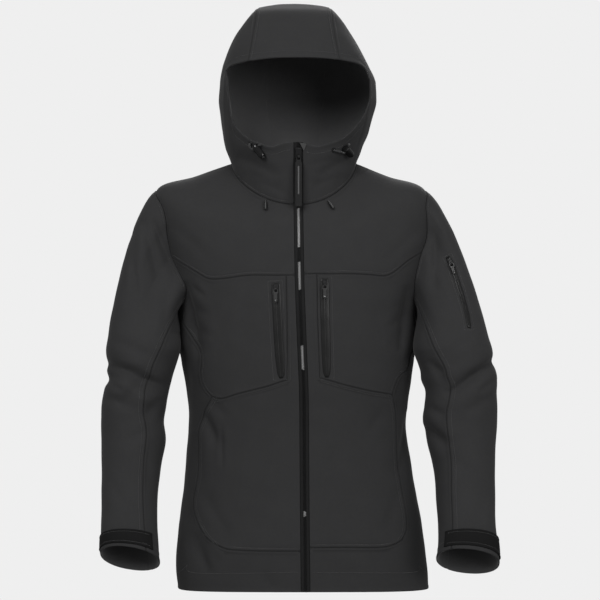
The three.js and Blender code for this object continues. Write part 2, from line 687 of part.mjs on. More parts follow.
// Colours and finish of the materials
const materials = {
  cloth: new THREE.MeshStandardMaterial({ color: 0x333334, roughness: 0.85, metalness: 0 }),
  clothDark: new THREE.MeshStandardMaterial({ color: 0x2c2c2d, roughness: 0.85, metalness: 0 }),
  tape: new THREE.MeshStandardMaterial({ color: 0x232323, roughness: 0.35, metalness: 0 }),
  strap: new THREE.MeshStandardMaterial({ color: 0x161617, roughness: 0.7, metalness: 0 }),
  rubber: new THREE.MeshStandardMaterial({ color: 0x0e0e0f, roughness: 0.35, metalness: 0 }),
  slider: new THREE.MeshStandardMaterial({ color: 0x151516, roughness: 0.3, metalness: 0.4 }),
  plastic: new THREE.MeshStandardMaterial({ color: 0x101011, roughness: 0.25, metalness: 0 }),
  cord: new THREE.MeshStandardMaterial({ color: 0x1a1a1b, roughness: 0.8, metalness: 0 }),
  flap: new THREE.MeshStandardMaterial({ color: 0x6a6a6b, roughness: 0.7, metalness: 0 }),
};

// Fronts, one half at a time
const halves = { left: bodySeams('left'), right: bodySeams('right') };

for (const [name, run] of Object.entries(halves)) {
  const shoulderAndNeck = joinRuns(run.shoulder, run.neck);
  addCloth(`front_yoke_${name}`, [
    spotPatch(shoulderAndNeck, run.yoke, run.armholeYoke, run.zipYoke),
  ], materials.cloth, bodyMiddle);
  addCloth(`front_chest_${name}`, [
    spotPatch(run.yoke.slice(0, -1), run.slant.slice(0, -1), joinRuns(run.armholeChest, run.chestSide), run.strip),
  ], materials.cloth, bodyMiddle);
  addCloth(`front_lower_${name}`, [
    spotPatch(run.yoke.slice(-2), run.slant.slice(-2), run.strip, run.zipStrip),
    spotPatch(run.slant, run.lowerHem, run.lowerSide, run.zipLower),
  ], materials.cloth, bodyMiddle);
  addCloth(`side_hem_${name}`, [
    spotPatch(joinRuns(run.chestSide, run.lowerSide, run.lowerHem), joinRuns(run.sideSeam, run.hem),
      run.armholeSide, run.zipHem),
  ], materials.clothDark, bodyMiddle);
}

// Back
const asSpots = (pairs) => pairs.map(([angle, ring]) => ({ angle, ring }));
const backNeck = sampleSpots(asSpots(backNeckSpots), 2 * steps.neckBackSide + steps.neckBackMiddle);
const wrapBack = (spots) => spots.map((spot) => ({ ...spot, angle: spot.angle > 0 ? spot.angle - 360 : spot.angle }));
const acrossBack = 2 * steps.shoulder + 2 * steps.neckBackSide + steps.neckBackMiddle;
const backYokeEnds = [halves.left.armholeBack.at(-1), wrapBack(halves.right.armholeBack).at(-1)];
const backYokeSeam = sampleSpots([backYokeEnds[0], ...asSpots(backYokeSpots), backYokeEnds[1]], acrossBack);
const backHem = sampleSpots(asSpots(backHemSpots), acrossBack);
addCloth('back_yoke', [
  spotPatch(
    joinRuns(halves.left.shoulder, backNeck, reversed(wrapBack(halves.right.shoulder))),
    backYokeSeam,
    reversed(halves.left.armholeBackYoke),
    wrapBack(reversed(halves.right.armholeBackYoke)),
  ),
], materials.cloth, bodyMiddle);
addCloth('back_body', [
  spotPatch(
    backYokeSeam,
    backHem,
    joinRuns(reversed(halves.left.armholeBack), halves.left.sideSeam),
    wrapBack(joinRuns(reversed(halves.right.armholeBack), halves.right.sideSeam)),
  ),
], materials.cloth, bodyMiddle);

// Sleeves, each an upper piece over the outside and an under piece along the inside
const frontSeamColumn = steps.yokeHeight + steps.armholeChest;
const backSeamColumn = frontSeamColumn + 2 * steps.armholeSide;
for (const [name, run] of Object.entries(halves)) {
  const grid = sleeveGrid(name, run.armhole);
  const ring = grid[0].length - 1;
  const around = (line, from, to) => {
    const points = [];
    for (let i = from; i <= to; i += 1) points.push(line[((i % ring) + ring) % ring]);
    return points;
  };
  const middle = grid[grid.length - 1][0].clone().add(grid[grid.length - 1][ring / 2]).multiplyScalar(0.5);
  addCloth(`sleeve_upper_${name}`, [
    grid.map((line) => around(line, backSeamColumn - ring, frontSeamColumn)),
  ], materials.cloth, middle);
  addCloth(`sleeve_under_${name}`, [
    grid.map((line) => around(line, frontSeamColumn, backSeamColumn)),
  ], materials.clothDark, middle);
}

// Hood and collar
const mixPoints = (controls, i, t) => {
  const last = controls.length - 1;
  const at = (k) => controls[Math.max(0, Math.min(last, k))];
  const value = (name) => {
    const a = at(i)[name];
    const b = at(i + 1)[name];
    const before = i > 0 ? at(i - 1)[name] : 2 * a - b;
    const after = i + 2 <= last ? at(i + 2)[name] : 2 * b - a;
    return catmullRom(before, a, b, after, t);
  };
  return new THREE.Vector3(value('x'), value('y'), value('z'));
};
const samplePoints = (controls, count) => sampleSmooth(controls, count, mixPoints, (point) => point);

const backNeckPoints = backNeck.map(spotPoint);
// A line round the side of the hood from one point to another, sinking evenly as it goes.
function aroundHood(from, to, count) {
  const turnOf = (point) => Math.atan2(Math.abs(point.x - hoodAxis.x), hoodAxis.y - point.y);
  const side = Math.sign(from.x - hoodAxis.x);
  const inner = [0.2, 0.4, 0.6, 0.8].map((t) => {
    const turn = turnOf(from) + (turnOf(to) - turnOf(from)) * t;
    const centre = new THREE.Vector3(hoodAxis.x, hoodAxis.y, from.z + (to.z - from.z) * t);
    return hoodCast(centre, new THREE.Vector3(side * Math.sin(turn), -Math.cos(turn), 0));
  });
  return samplePoints([from, ...inner, to], count);
}

const hoodRuns = {};
for (const [name, run] of Object.entries(halves)) {
  const { sign } = frontSeams[name];
  const edge = faceEdges[name];
  const neckLine = run.neck.map(spotPoint);
  const side = name === 'left' ? backNeckPoints : reversed(backNeckPoints);
  const neckSide = side.slice(0, steps.neckBackSide + 1);
  const zipTop = hoodFront(bodyRings[0].zipX + sign * zipHalfWidth, faceTop);
  const zipFoot = neckLine[neckLine.length - 1];
  const face = samplePoints([zipTop, ...edge.map(([x, z]) => hoodFront(x, z))], steps.faceSide);
  const brow = samplePoints([face.at(-1), ...browEdges[name].map(([x, z]) => hoodFront(x, z))], steps.browSide);
  const crownStart = brow.at(-1);
  const over = (angle) => hoodOver(monotone(stripEdges, 'angle', name, angle), angle);
  const crown = samplePoints([crownStart, ...crownAngles.map(over)], steps.crownSide);
  const neckEnd = neckSide[neckSide.length - 1];
  const nape = samplePoints([crown.at(-1), ...napeAngles.map(over), neckEnd], steps.browSide + steps.hoodHeight);
  const temple = aroundHood(face.at(-1), nape[steps.browSide], steps.crownSide);
  const zipEdge = zipOnHood.map((z) => hoodFront(bodyRings[0].zipX + sign * zipHalfWidth, z));
  const zip = samplePoints([zipTop, ...zipEdge, zipFoot], steps.hoodHeight);
  hoodRuns[name] = { brow, crown, nape, zip, neck: joinRuns(reversed(neckLine), neckSide) };
  addCloth(`hood_side_${name}`, [
    hoodPatch(crown, temple, reversed(brow), nape.slice(0, steps.browSide + 1)),
    hoodPatch(joinRuns(face, temple), hoodRuns[name].neck, zip, nape.slice(steps.browSide)),
  ], materials.cloth, hoodMiddle);
}

const brim = samplePoints([
  hoodRuns.left.brow.at(-1),
  ...brimPoints.map(([x, z]) => hoodFront(x, z)),
  hoodRuns.right.brow.at(-1),
], steps.neckBackMiddle);
const napeMiddle = backNeckPoints.slice(steps.neckBackSide, steps.neckBackSide + steps.neckBackMiddle + 1);
addCloth('hood_centre', [
  hoodPatch(
    brim,
    napeMiddle,
    joinRuns(hoodRuns.left.crown, hoodRuns.left.nape),
    joinRuns(hoodRuns.right.crown, hoodRuns.right.nape),
  ),
], materials.cloth, hoodMiddle);

// Main zip tapes, from the hem to the top of the collar
const zipCentreBody = halves.left.zip.map((spot) => spotPoint(spotAtX(column(bodyRings, 'zipX', spot.ring), spot.ring)));
const zipCentreHood = samplePoints([
  zipCentreBody[0],
  ...[...zipOnHood, faceTop].sort((a, b) => a - b).map((z) => hoodFront(bodyRings[0].zipX, z)),
], steps.hoodHeight);
for (const [name, run] of Object.entries(halves)) {
  const edge = joinRuns(hoodRuns[name].zip, run.zip.map(spotPoint));
  const centre = joinRuns(reversed(zipCentreHood), zipCentreBody);
  addCloth(`zip_tape_${name}`, [edge.map((point, i) => [point, centre[i]])], materials.tape, bodyMiddle, tapeWall);
}

// Turns collected cloth pieces into closed walls. Pieces that share a seam share its edge direction there,
// so their edges stay parallel and half a gap back from the seam on each side.
const keyOf = (point) => `${Math.round(point.x * 50)},${Math.round(point.y * 50)},${Math.round(point.z * 50)}`;

function weld(patches) {
  const points = [];
  const index = new Map();
  const faces = [];
  const idOf = (point) => {
    const key = keyOf(point);
    if (!index.has(key)) {
      index.set(key, points.length);
      points.push(point);
    }
    return index.get(key);
  };
  for (const grid of patches) {
    for (let j = 0; j + 1 < grid.length; j += 1) {
      for (let i = 0; i + 1 < grid[j].length; i += 1) {
        const a = idOf(grid[j][i]);
        const b = idOf(grid[j][i + 1]);
        const c = idOf(grid[j + 1][i + 1]);
        const d = idOf(grid[j + 1][i]);
        const split = points[a].distanceTo(points[c]) <= points[b].distanceTo(points[d]);
        const pair = split ? [[a, c, b], [a, d, c]] : [[a, d, b], [b, d, c]];
        for (const face of pair) {
          if (new Set(face).size === 3) faces.push(face);
        }
      }
    }
  }
  return { points, faces };
}

function faceNormal(points, [a, b, c]) {
  const u = points[b].clone().sub(points[a]);
  const v = points[c].clone().sub(points[a]);
  return u.cross(v);
}

function orientOutward(mesh, centre) {
  let sum = 0;
  for (const face of mesh.faces) {
    const normal = faceNormal(mesh.points, face);
    const middle = mesh.points[face[0]].clone().sub(centre);
    middle.z = 0;
    sum += normal.dot(middle);
  }
  if (sum < 0) mesh.faces = mesh.faces.map(([a, b, c]) => [a, c, b]);
}

function edgeLoop(mesh) {
  const edges = new Map();
  for (const [a, b, c] of mesh.faces) {
    for (const [p, q] of [[a, b], [b, c], [c, a]]) {
      if (!edges.delete(`${q},${p}`)) edges.set(`${p},${q}`, [p, q]);
    }
  }
  return [...edges.values()];
}

function prepareCloth(piece) {
  const mesh = weld(piece.patches);
  orientOutward(mesh, piece.outward);
  mesh.normals = mesh.points.map(() => new THREE.Vector3());
  for (const face of mesh.faces) {
    const normal = faceNormal(mesh.points, face);
    for (const i of face) mesh.normals[i].add(normal);
  }
  mesh.normals.forEach((normal) => normal.normalize());
  mesh.edges = edgeLoop(mesh);
  return mesh;
}

const clothMeshes = clothPieces.map(prepareCloth);

const seamDirections = new Map();
for (const mesh of clothMeshes) {
  for (const i of new Set(mesh.edges.flat())) {
    const key = keyOf(mesh.points[i]);
    if (!seamDirections.has(key)) seamDirections.set(key, new THREE.Vector3());
    seamDirections.get(key).add(mesh.normals[i]);
  }
}
for (const direction of seamDirections.values()) direction.normalize();

// Steps an edge vertex back from the seam, square to the seam's shared direction.
function stepBack(mesh, i, direction) {
  const moves = [];
  for (const [p, q] of mesh.edges) {
    if (p === i || q === i) {
      const along = mesh.points[q].clone().sub(mesh.points[p]).normalize();
      moves.push(direction.clone().cross(along).normalize());
    }
  }
  const [first, second] = moves;
  const scale = Math.max(0.35, 1 + first.dot(second));
  return first.clone().add(second).multiplyScalar(seamGap / 2 / scale);
}

// Both walls at a seam split their twisted edge strip along the same diagonal.
function comesFirst(a, b) {
  if (Math.abs(a.z - b.z) > 0.01) return a.z < b.z;
  if (Math.abs(a.x - b.x) > 0.01) return a.x < b.x;
  return a.y < b.y;
}

function wallGeometry(piece, mesh) {
  const onEdge = new Set(mesh.edges.flat());
  const outer = [];
  const inner = [];
  mesh.points.forEach((point, i) => {
    let direction = mesh.normals[i];
    let middle = point;
    let half = piece.wall / 2;
    if (onEdge.has(i)) {
      direction = seamDirections.get(keyOf(point));
      half /= Math.max(0.7, direction.dot(mesh.normals[i]));
      middle = point.clone().add(stepBack(mesh, i, direction));
    }
    outer.push(middle.clone().addScaledVector(direction, half));
    inner.push(middle.clone().addScaledVector(direction, -half));
  });
  const count = outer.length;
  const indices = [];
  for (const [a, b, c] of mesh.faces) {
    indices.push(a, b, c);
    indices.push(count + a, count + c, count + b);
  }
  for (const [p, q] of mesh.edges) {
    if (comesFirst(mesh.points[p], mesh.points[q])) {
      indices.push(q, p, count + q);
      indices.push(p, count + p, count + q);
    } else {
      indices.push(q, p, count + p);
      indices.push(q, count + p, count + q);
    }
  }
  const geometry = new THREE.BufferGeometry();
  const flat = [...outer, ...inner].flatMap((point) => point.toArray());
  geometry.setAttribute('position', new THREE.Float32BufferAttribute(flat, 3));
  geometry.setIndex(indices);
  geometry.computeVertexNormals();
  return geometry;
}

const jacket = new THREE.Group();
jacket.name = 'softshell_jacket';

function addMesh(name, geometry, material, parent = jacket) {
  const mesh = new THREE.Mesh(geometry, material);
  mesh.name = name;
  parent.add(mesh);
  return mesh;
}

clothPieces.forEach((piece, k) => {
  addMesh(piece.name, wallGeometry(piece, clothMeshes[k]), piece.material);
});

// Closes two equal grids of points into one solid plate.
function plateGeometry(lower, upper) {
  const rows = lower.length;
  const columns = lower[0].length;
  const at = (layer, j, i) => (layer * rows + j) * columns + i;
  const indices = [];
  const quad = (a, b, c, d) => indices.push(a, b, c, a, c, d);
  for (let j = 0; j + 1 < rows; j += 1) {
    for (let i = 0; i + 1 < columns; i += 1) {
      quad(at(1, j, i), at(1, j + 1, i), at(1, j + 1, i + 1), at(1, j, i + 1));
      quad(at(0, j, i), at(0, j, i + 1), at(0, j + 1, i + 1), at(0, j + 1, i));
    }
  }
  for (let i = 0; i + 1 < columns; i += 1) {
    quad(at(0, 0, i), at(1, 0, i), at(1, 0, i + 1), at(0, 0, i + 1));
    quad(at(1, rows - 1, i), at(0, rows - 1, i), at(0, rows - 1, i + 1), at(1, rows - 1, i + 1));
  }
  for (let j = 0; j + 1 < rows; j += 1) {
    quad(at(1, j, 0), at(0, j, 0), at(0, j + 1, 0), at(1, j + 1, 0));
    quad(at(0, j, columns - 1), at(1, j, columns - 1), at(1, j + 1, columns - 1), at(0, j + 1, columns - 1));
  }
  const points = [...lower.flat(), ...upper.flat()];
  return closedGeometry(points, indices);
}

// A geometry with its faces turned outward.
function closedGeometry(points, indices) {
  let volume = 0;
  for (let k = 0; k < indices.length; k += 3) {
    const [a, b, c] = [points[indices[k]], points[indices[k + 1]], points[indices[k + 2]]];
    volume += a.dot(b.clone().cross(c));
  }
  const turned = [];
  for (let k = 0; k < indices.length; k += 3) {
    const [a, b, c] = indices.slice(k, k + 3);
    turned.push(...(volume < 0 ? [a, c, b] : [a, b, c]));
  }
  const geometry = new THREE.BufferGeometry();
  geometry.setAttribute('position', new THREE.Float32BufferAttribute(points.flatMap((point) => point.toArray()), 3));
  geometry.setIndex(turned);
  geometry.computeVertexNormals();
  return geometry;
}

function manifoldGeometry(manifold) {
  const mesh = manifold.getMesh();
  const geometry = new THREE.BufferGeometry();
  geometry.setAttribute('position', new THREE.Float32BufferAttribute(mesh.vertProperties, 3));
  geometry.setIndex([...mesh.triVerts]);
  geometry.computeVertexNormals();
  return geometry;
}

// Where a line of sight from the front meets a panel.
const caster = new THREE.Raycaster();
const frontward = new THREE.Vector3(0, 1, 0);
const castFrom = -400;
jacket.updateMatrixWorld(true);

function hitPanels(names, x, z) {
  caster.set(new THREE.Vector3(x, castFrom, z), frontward);
  const panels = names.map((name) => jacket.getObjectByName(name));
  const [hit] = caster.intersectObjects(panels, false);
  if (!hit) throw new Error(`no panel of ${names} at ${x}, ${z}`);
  return { point: hit.point, normal: hit.face.normal.clone() };
}

// A frame on a panel: X across, Y up along towards, Z outward. spread is how far the normal is averaged.
function panelFrame(names, x, z, towards, spread, lift) {
  const normal = new THREE.Vector3();
  for (const [dx, dz] of [[spread, 0], [-spread, 0], [0, spread], [0, -spread]]) {
    normal.add(hitPanels(names, x + dx, z + dz).normal);
  }
  normal.normalize();
  const { point } = hitPanels(names, x, z);
  const up = towards.clone().addScaledVector(normal, -towards.dot(normal)).normalize();
  const across = up.clone().cross(normal);
  return new THREE.Matrix4().makeBasis(across, up, normal).setPosition(point.addScaledVector(normal, lift));
}

// A flat strip on a smooth surface: rows of [x, z, half width], each row carried out from surface(x, z).
function stripGrid(rows, surface, lift) {
  const middles = rows.map(([x, z]) => surface(x, z));
  return rows.map(([, , half], j) => {
    const before = middles[Math.max(0, j - 1)].point;
    const after = middles[Math.min(rows.length - 1, j + 1)].point;
    const { point, normal } = middles[j];
    const across = after.clone().sub(before).cross(normal).normalize();
    return [-1, 0, 1].map((side) => (
      point.clone().addScaledVector(across, side * half).addScaledVector(normal, lift)
    ));
  });
}

// Rows of a path sampled evenly.
function samplePath(path, step) {
  const rows = [path[0]];
  for (let i = 0; i + 1 < path.length; i += 1) {
    const [x0, z0, h0] = path[i];
    const [x1, z1, h1] = path[i + 1];
    const parts = Math.max(1, Math.round(Math.hypot(x1 - x0, z1 - z0) / step));
    for (let k = 1; k <= parts; k += 1) {
      const t = k / parts;
      rows.push([x0 + (x1 - x0) * t, z0 + (z1 - z0) * t, h0 + (h1 - h0) * t]);
    }
  }
  return rows;
}

// Zip tapes on panels
function addTape(name, path, panels, spread) {
  const surface = (x, z) => {
    const normal = new THREE.Vector3();
    for (const dx of [-spread, 0, spread]) normal.add(hitPanels(panels, x + dx, z).normal);
    return { point: hitPanels(panels, x, z).point, normal: normal.normalize() };
  };
  const rows = samplePath(path, zipTapeStep);
  addMesh(
    name,
    plateGeometry(stripGrid(rows, surface, restGap), stripGrid(rows, surface, restGap + tapeWall)),
    materials.tape,
  );
}
addTape('chest_zip_tape_left', zipPaths.chestLeft, ['front_chest_left'], 6);
addTape('chest_zip_tape_right', zipPaths.chestRight, ['front_chest_right'], 6);
addTape('sleeve_zip_tape', zipPaths.sleeve, ['sleeve_upper_right'], 3.5);

// A rectangle with rounded corners, from its lowest y to its highest.
function roundedRect(width, low, high, radius) {
  const core = CrossSection.square([width - 2 * radius, high - low - 2 * radius], true);
  return core.offset(radius, 'Round', 2, 12).translate([0, (low + high) / 2]);
}

function sliderSolid(size) {
  const low = -size.length / 2;
  const high = size.length / 2;
  const { corner, lid, lidInset, lidCorner } = sliderShape;
  const base = roundedRect(size.width, low, high, corner).extrude(size.height * sliderShape.base);
  const top = roundedRect(size.width - 2 * lidInset, low + lidInset, high - lidInset, lidCorner)
    .extrude(lid)
    .translate([0, 0, size.height - lid]);
  const body = Manifold.hull([base, top]);
  const arch = CrossSection.circle(hinge.outer, 24)
    .add(CrossSection.square([2 * hinge.outer, hinge.inner + hinge.sunk], false)
      .translate([-hinge.outer, -hinge.inner - hinge.sunk]))
    .subtract(CrossSection.circle(hinge.inner, 24))
    .subtract(CrossSection.square([2 * hinge.inner, hinge.inner + 2], false)
      .translate([-hinge.inner, -hinge.inner - 2]))
    .extrude(hinge.width, 0, 0, [1, 1], true)
    .rotate([90, 0, 90])
    .translate([0, size.y, size.height + hinge.inner]);
  return body.add(arch);
}

// The pull hangs down its own Y from the hinge axis, which is its X.
function pullSolid(size) {
  const eyeHalf = hinge.width / 2 + hinge.play;
  const { overlap, edge } = pullShape;
  const eye = roundedRect(2 * (eyeHalf + hinge.sideBar), -size.gripTop - overlap, hinge.bar, pullShape.eyeCorner)
    .subtract(CrossSection.square([2 * eyeHalf, hinge.eyeEnd - hinge.bar], false)
      .translate([-eyeHalf, -hinge.eyeEnd]))
    .extrude(2 * hinge.bar, 0, 0, [1, 1], true);
  const radius = Math.min(pullShape.corner, size.grip / 2 - edge);
  const grip = roundedRect(size.grip, -size.reach, -size.gripTop + overlap, radius)
    .extrude(size.pad, 0, 0, [1, 1], true);
  const parts = [eye, grip];
  if (size.bulb > 0) {
    parts.push(Manifold.sphere(size.bulb, 12)
      .scale([1, pullShape.bulbLong, pullShape.bulbFlat])
      .translate([0, size.bulb - size.reach, 0]));
  }
  return Manifold.union(parts);
}

// Pivot of every pull and the way of every button, for the part's joints.
export const joints = {};
const sliderPanels = {
  main: ['zip_tape_left', 'zip_tape_right'],
  chestLeft: ['chest_zip_tape_left'],
  chestRight: ['chest_zip_tape_right'],
  sleeve: ['sleeve_zip_tape'],
};
const sliderNames = { main: 'main', chestLeft: 'chest_left', chestRight: 'chest_right', sleeve: 'sleeve' };
const sleeveZipWay = new THREE.Vector3(-0.28, 0, 0.96);
const upward = new THREE.Vector3(0, 0, 1);
for (const [key, size] of Object.entries(pulls)) {
  const way = key === 'sleeve' ? sleeveZipWay : upward;
  const frame = panelFrame(sliderPanels[key], size.x, size.z, way, 2.2, restGap);
  const name = sliderNames[key];
  addMesh(`${name}_slider`, manifoldGeometry(sliderSolid(size)).applyMatrix4(frame), materials.slider);
  const pivot = new THREE.Vector3(0, size.y, size.height + hinge.inner).applyMatrix4(frame);
  const across = new THREE.Vector3();
  const along = new THREE.Vector3();
  const outward = new THREE.Vector3();
  frame.extractBasis(across, along, outward);
  const plumb = upward.clone().addScaledVector(across, -upward.dot(across)).normalize();
  const hangsFree = plumb.dot(outward) < 0;
  if (hangsFree) {
    along.copy(plumb);
    outward.copy(across).cross(along);
  }
  const hang = new THREE.Matrix4().makeBasis(across, along, outward).setPosition(pivot);
  addMesh(`${name}_pull`, manifoldGeometry(pullSolid(size)).applyMatrix4(hang), materials.rubber);
  joints[`${name}_pull`] = { at: pivot.toArray(), axis: across.clone().negate().toArray() };
}

// Cuff tabs and their moulded tips, wrapped round the outside of each sleeve end
function cuffBand(name, from, to, parts, upper, lower, lift) {
  const rings = sleeveRings[name];
  const { sign } = frontSeams[name];
  const rows = 2;
  const grid = [];
  for (let j = 0; j <= rows; j += 1) {
    const row = upper + ((lower - upper) * j) / rows;
    const middle = sleevePoint(rings, sign, row, 0).add(sleevePoint(rings, sign, row, 180)).multiplyScalar(0.5);
    const line = [];
    for (let i = 0; i <= parts; i += 1) {
      const angle = from + ((to - from) * i) / parts;
      const point = sleevePoint(rings, sign, row, angle);
      const round = sleevePoint(rings, sign, row, angle + 4).sub(sleevePoint(rings, sign, row, angle - 4));
      const down = sleevePoint(rings, sign, row + 0.2, angle).sub(sleevePoint(rings, sign, row - 0.2, angle));
      const normal = round.cross(down).normalize();
      if (normal.dot(point.clone().sub(middle)) < 0) normal.negate();
      line.push(point.addScaledVector(normal, lift));
    }
    grid.push(line);
  }
  return grid;
}
const cuffLift = clothWall / 2 + restGap;
for (const name of ['left', 'right']) {
  const { from, to, upper, lower, tipEnd, tipGap, tipWall } = cuffTab;
  const band = (start, end, parts, inset, lift) => (
    cuffBand(name, start, end, parts, upper + inset, lower - inset, lift)
  );
  addMesh(`cuff_tab_${name}`, plateGeometry(
    band(from, to, 14, 0, cuffLift),
    band(from, to, 14, 0, cuffLift + cuffTabWall),
  ), materials.strap);
  addMesh(`cuff_tip_${name}`, plateGeometry(
    band(tipEnd, from - tipGap, 4, 0.06, cuffLift),
    band(tipEnd, from - tipGap, 4, 0.06, cuffLift + tipWall),
  ), materials.rubber);
}

// A round cord along points, closed at both ends.
function cordGeometry(controls, radius, count, sides) {
  const curve = new THREE.CatmullRomCurve3(controls);
  const frames = curve.computeFrenetFrames(count, false);
  const points = [];
  const indices = [];
  for (let k = 0; k <= count; k += 1) {
    const middle = curve.getPointAt(k / count);
    for (let i = 0; i < sides; i += 1) {
      const turn = (2 * Math.PI * i) / sides;
      points.push(middle.clone()
        .addScaledVector(frames.normals[k], radius * Math.cos(turn))
        .addScaledVector(frames.binormals[k], radius * Math.sin(turn)));
    }
  }
  for (let k = 0; k < count; k += 1) {
    for (let i = 0; i < sides; i += 1) {
      const a = k * sides + i;
      const b = k * sides + ((i + 1) % sides);
      indices.push(a, b, b + sides, a, b + sides, a + sides);
    }
  }
  for (let i = 1; i + 1 < sides; i += 1) {
    indices.push(0, i + 1, i);
    indices.push(count * sides, count * sides + i, count * sides + i + 1);
  }
  return closedGeometry(points, indices);
}

// Hood cord locks, their eyelets and cord
const barrelSides = 16;
for (const [name, place] of Object.entries(cordLocks)) {
  const panel = [`hood_side_${name}`];
  const { radius, length } = place;
  const [dx, dz] = place.towards;
  const centre = place.top.map((value, i) => value + (place.towards[i] * length) / 2);
  const frame = panelFrame(panel, centre[0], centre[1], new THREE.Vector3(-dx, 0, -dz), 5, restGap + radius);
  const alongY = (solid) => solid.rotate([90, 0, 0]);
  const end = length / 2;
  const profile = CrossSection.ofPolygons([[
    [0, -end], [radius - 1.4, -end], [radius - 0.4, 1 - end], [radius, 3.5 - end],
    [radius, end - 3.5], [radius - 0.4, end - 1], [radius - 1.4, end], [0, end],
  ]]);
  const pocketRadius = lock.buttonRadius + lock.buttonPlay;
  const barrel = Manifold.revolve(profile, barrelSides)
    .subtract(Manifold.cylinder(lock.pocket + 1, pocketRadius, pocketRadius, barrelSides, false)
      .translate([0, 0, -end - 1]));
  const bore = Manifold.cylinder(2 * radius + 2, lock.boreRadius, lock.boreRadius, 12, true)
    .rotate([0, 90, 0])
    .translate([0, 0, end - lock.boreAt]);
  const upright = barrel.subtract(bore);
  addMesh(
    `cord_lock_${name}`,
    manifoldGeometry(alongY(upright).rotate([180, 0, 0])).applyMatrix4(frame),
    materials.plastic,
  );
  const button = Manifold.revolve(CrossSection.ofPolygons([[
    [0, -lock.buttonOut], [lock.buttonRadius - 1.2, -lock.buttonOut], [lock.buttonRadius, 1.2 - lock.buttonOut],
    [lock.buttonRadius, lock.buttonIn], [0, lock.buttonIn],
  ]]), 16).translate([0, 0, -end]);
  addMesh(
    `cord_button_${name}`,
    manifoldGeometry(alongY(button).rotate([180, 0, 0])).applyMatrix4(frame),
    materials.slider,
  );
  const up = new THREE.Vector3().setFromMatrixColumn(frame, 1);
  joints[`cord_button_${name}`] = {
    at: new THREE.Vector3(0, -end, 0).applyMatrix4(frame).toArray(),
    axis: up.toArray(),
  };

  const [ex, ez] = place.eyelet;
  const ring = panelFrame(panel, ex, ez, upward, 2.5, restGap);
  const dish = Manifold.revolve(CrossSection.ofPolygons([[
    [0, 0], [eyelet.radius, 0], [eyelet.radius, eyelet.height - 0.5], [eyelet.radius - 0.5, eyelet.height],
    [eyelet.hole, eyelet.height], [eyelet.hole, eyelet.floor], [0, eyelet.floor],
  ]]), 14);
  addMesh(`hood_eyelet_${name}`, manifoldGeometry(dish).applyMatrix4(ring), materials.slider);

  const toLock = frame.clone().invert();
  const start = new THREE.Vector3(0, 0, eyelet.floor + restGap).applyMatrix4(ring);
  const rise = new THREE.Vector3(0, 0, 4.2).applyMatrix4(ring);
  const side = Math.sign(start.clone().applyMatrix4(toLock).x);
  const bend = rise.clone().applyMatrix4(toLock);
  const boreY = end - lock.boreAt;
  const inLock = [
    [side * (radius + 3.4), (bend.y + 2 * boreY) / 3 + 0.6, 0.4],
    [side * (radius + 1.4), boreY + 0.1, 0],
    [0, boreY, 0],
    [-side * (radius + 0.6), boreY, 0],
    [-side * (radius + 4.5), boreY - 1.5, -1.2],
  ].map((values) => new THREE.Vector3(...values).applyMatrix4(frame));
  addMesh(`hood_cord_${name}`, cordGeometry([start, rise, ...inLock], lock.cordRadius, 16, 7), materials.cord);
}

// Moulded ends of the drawcord, hanging from the neck seam over the yoke
for (const [name, place] of Object.entries(neckCords)) {
  const panel = [`front_yoke_${name}`];
  const [x0, z0] = place.top;
  const [x1, z1] = place.bottom;
  const top = hitPanels(panel, x0, z0);
  const bottom = hitPanels(panel, x1, z1);
  const way = top.point.clone().sub(bottom.point);
  const length = way.length();
  const lift = restGap + neckCordEnd.radius;
  const frame = panelFrame(panel, (x0 + x1) / 2, (z0 + z1) / 2, way, 3, lift + 0.4);
  const { radius, neckRadius, neckLength } = neckCordEnd;
  const half = length / 2;
  const profile = CrossSection.ofPolygons([[
    [0, -half], [radius - 1.2, -half], [radius, 1.4 - half], [radius, half - neckLength - 1],
    [neckRadius, half - neckLength], [neckRadius, half], [0, half],
  ]]);
  const solid = Manifold.revolve(profile, 14).rotate([-90, 0, 0]);
  addMesh(`neck_cord_end_${name}`, manifoldGeometry(solid).applyMatrix4(frame), materials.rubber);
}

// Garage flap over the top of the main zip
const flapGrid = (lift) => {
  const grid = [];
  for (let j = 0; j <= garageFlap.rows; j += 1) {
    const t = j / garageFlap.rows;
    const line = [];
    for (let i = 0; i <= garageFlap.columns; i += 1) {
      const u = i / garageFlap.columns;
      const mix = (k) => {
        const upper = garageFlap.top[0][k] * (1 - u) + garageFlap.top[1][k] * u;
        const lower = garageFlap.bottom[0][k] * (1 - u) + garageFlap.bottom[1][k] * u;
        return upper * (1 - t) + lower * t;
      };
      const [x, z] = [mix(0), mix(1)];
      const point = hoodFront(x, z);
      const across = hoodFront(x + 1, z).sub(hoodFront(x - 1, z));
      const down = hoodFront(x, z - 1).sub(hoodFront(x, z + 1));
      const normal = down.cross(across).normalize();
      line.push(point.addScaledVector(normal, lift));
    }
    grid.push(line);
  }
  return grid;
};
const flapLift = clothWall / 2 + restGap;
addMesh('garage_flap', plateGeometry(flapGrid(flapLift), flapGrid(flapLift + garageFlap.wall)), materials.flap);

export default jacket;
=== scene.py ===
"""Hooded softshell jacket in its worn shape: cloth, zips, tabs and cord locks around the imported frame."""

import json
import math

import bpy
import numpy as np
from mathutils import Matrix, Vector, kdtree
from mathutils.bvhtree import BVHTree

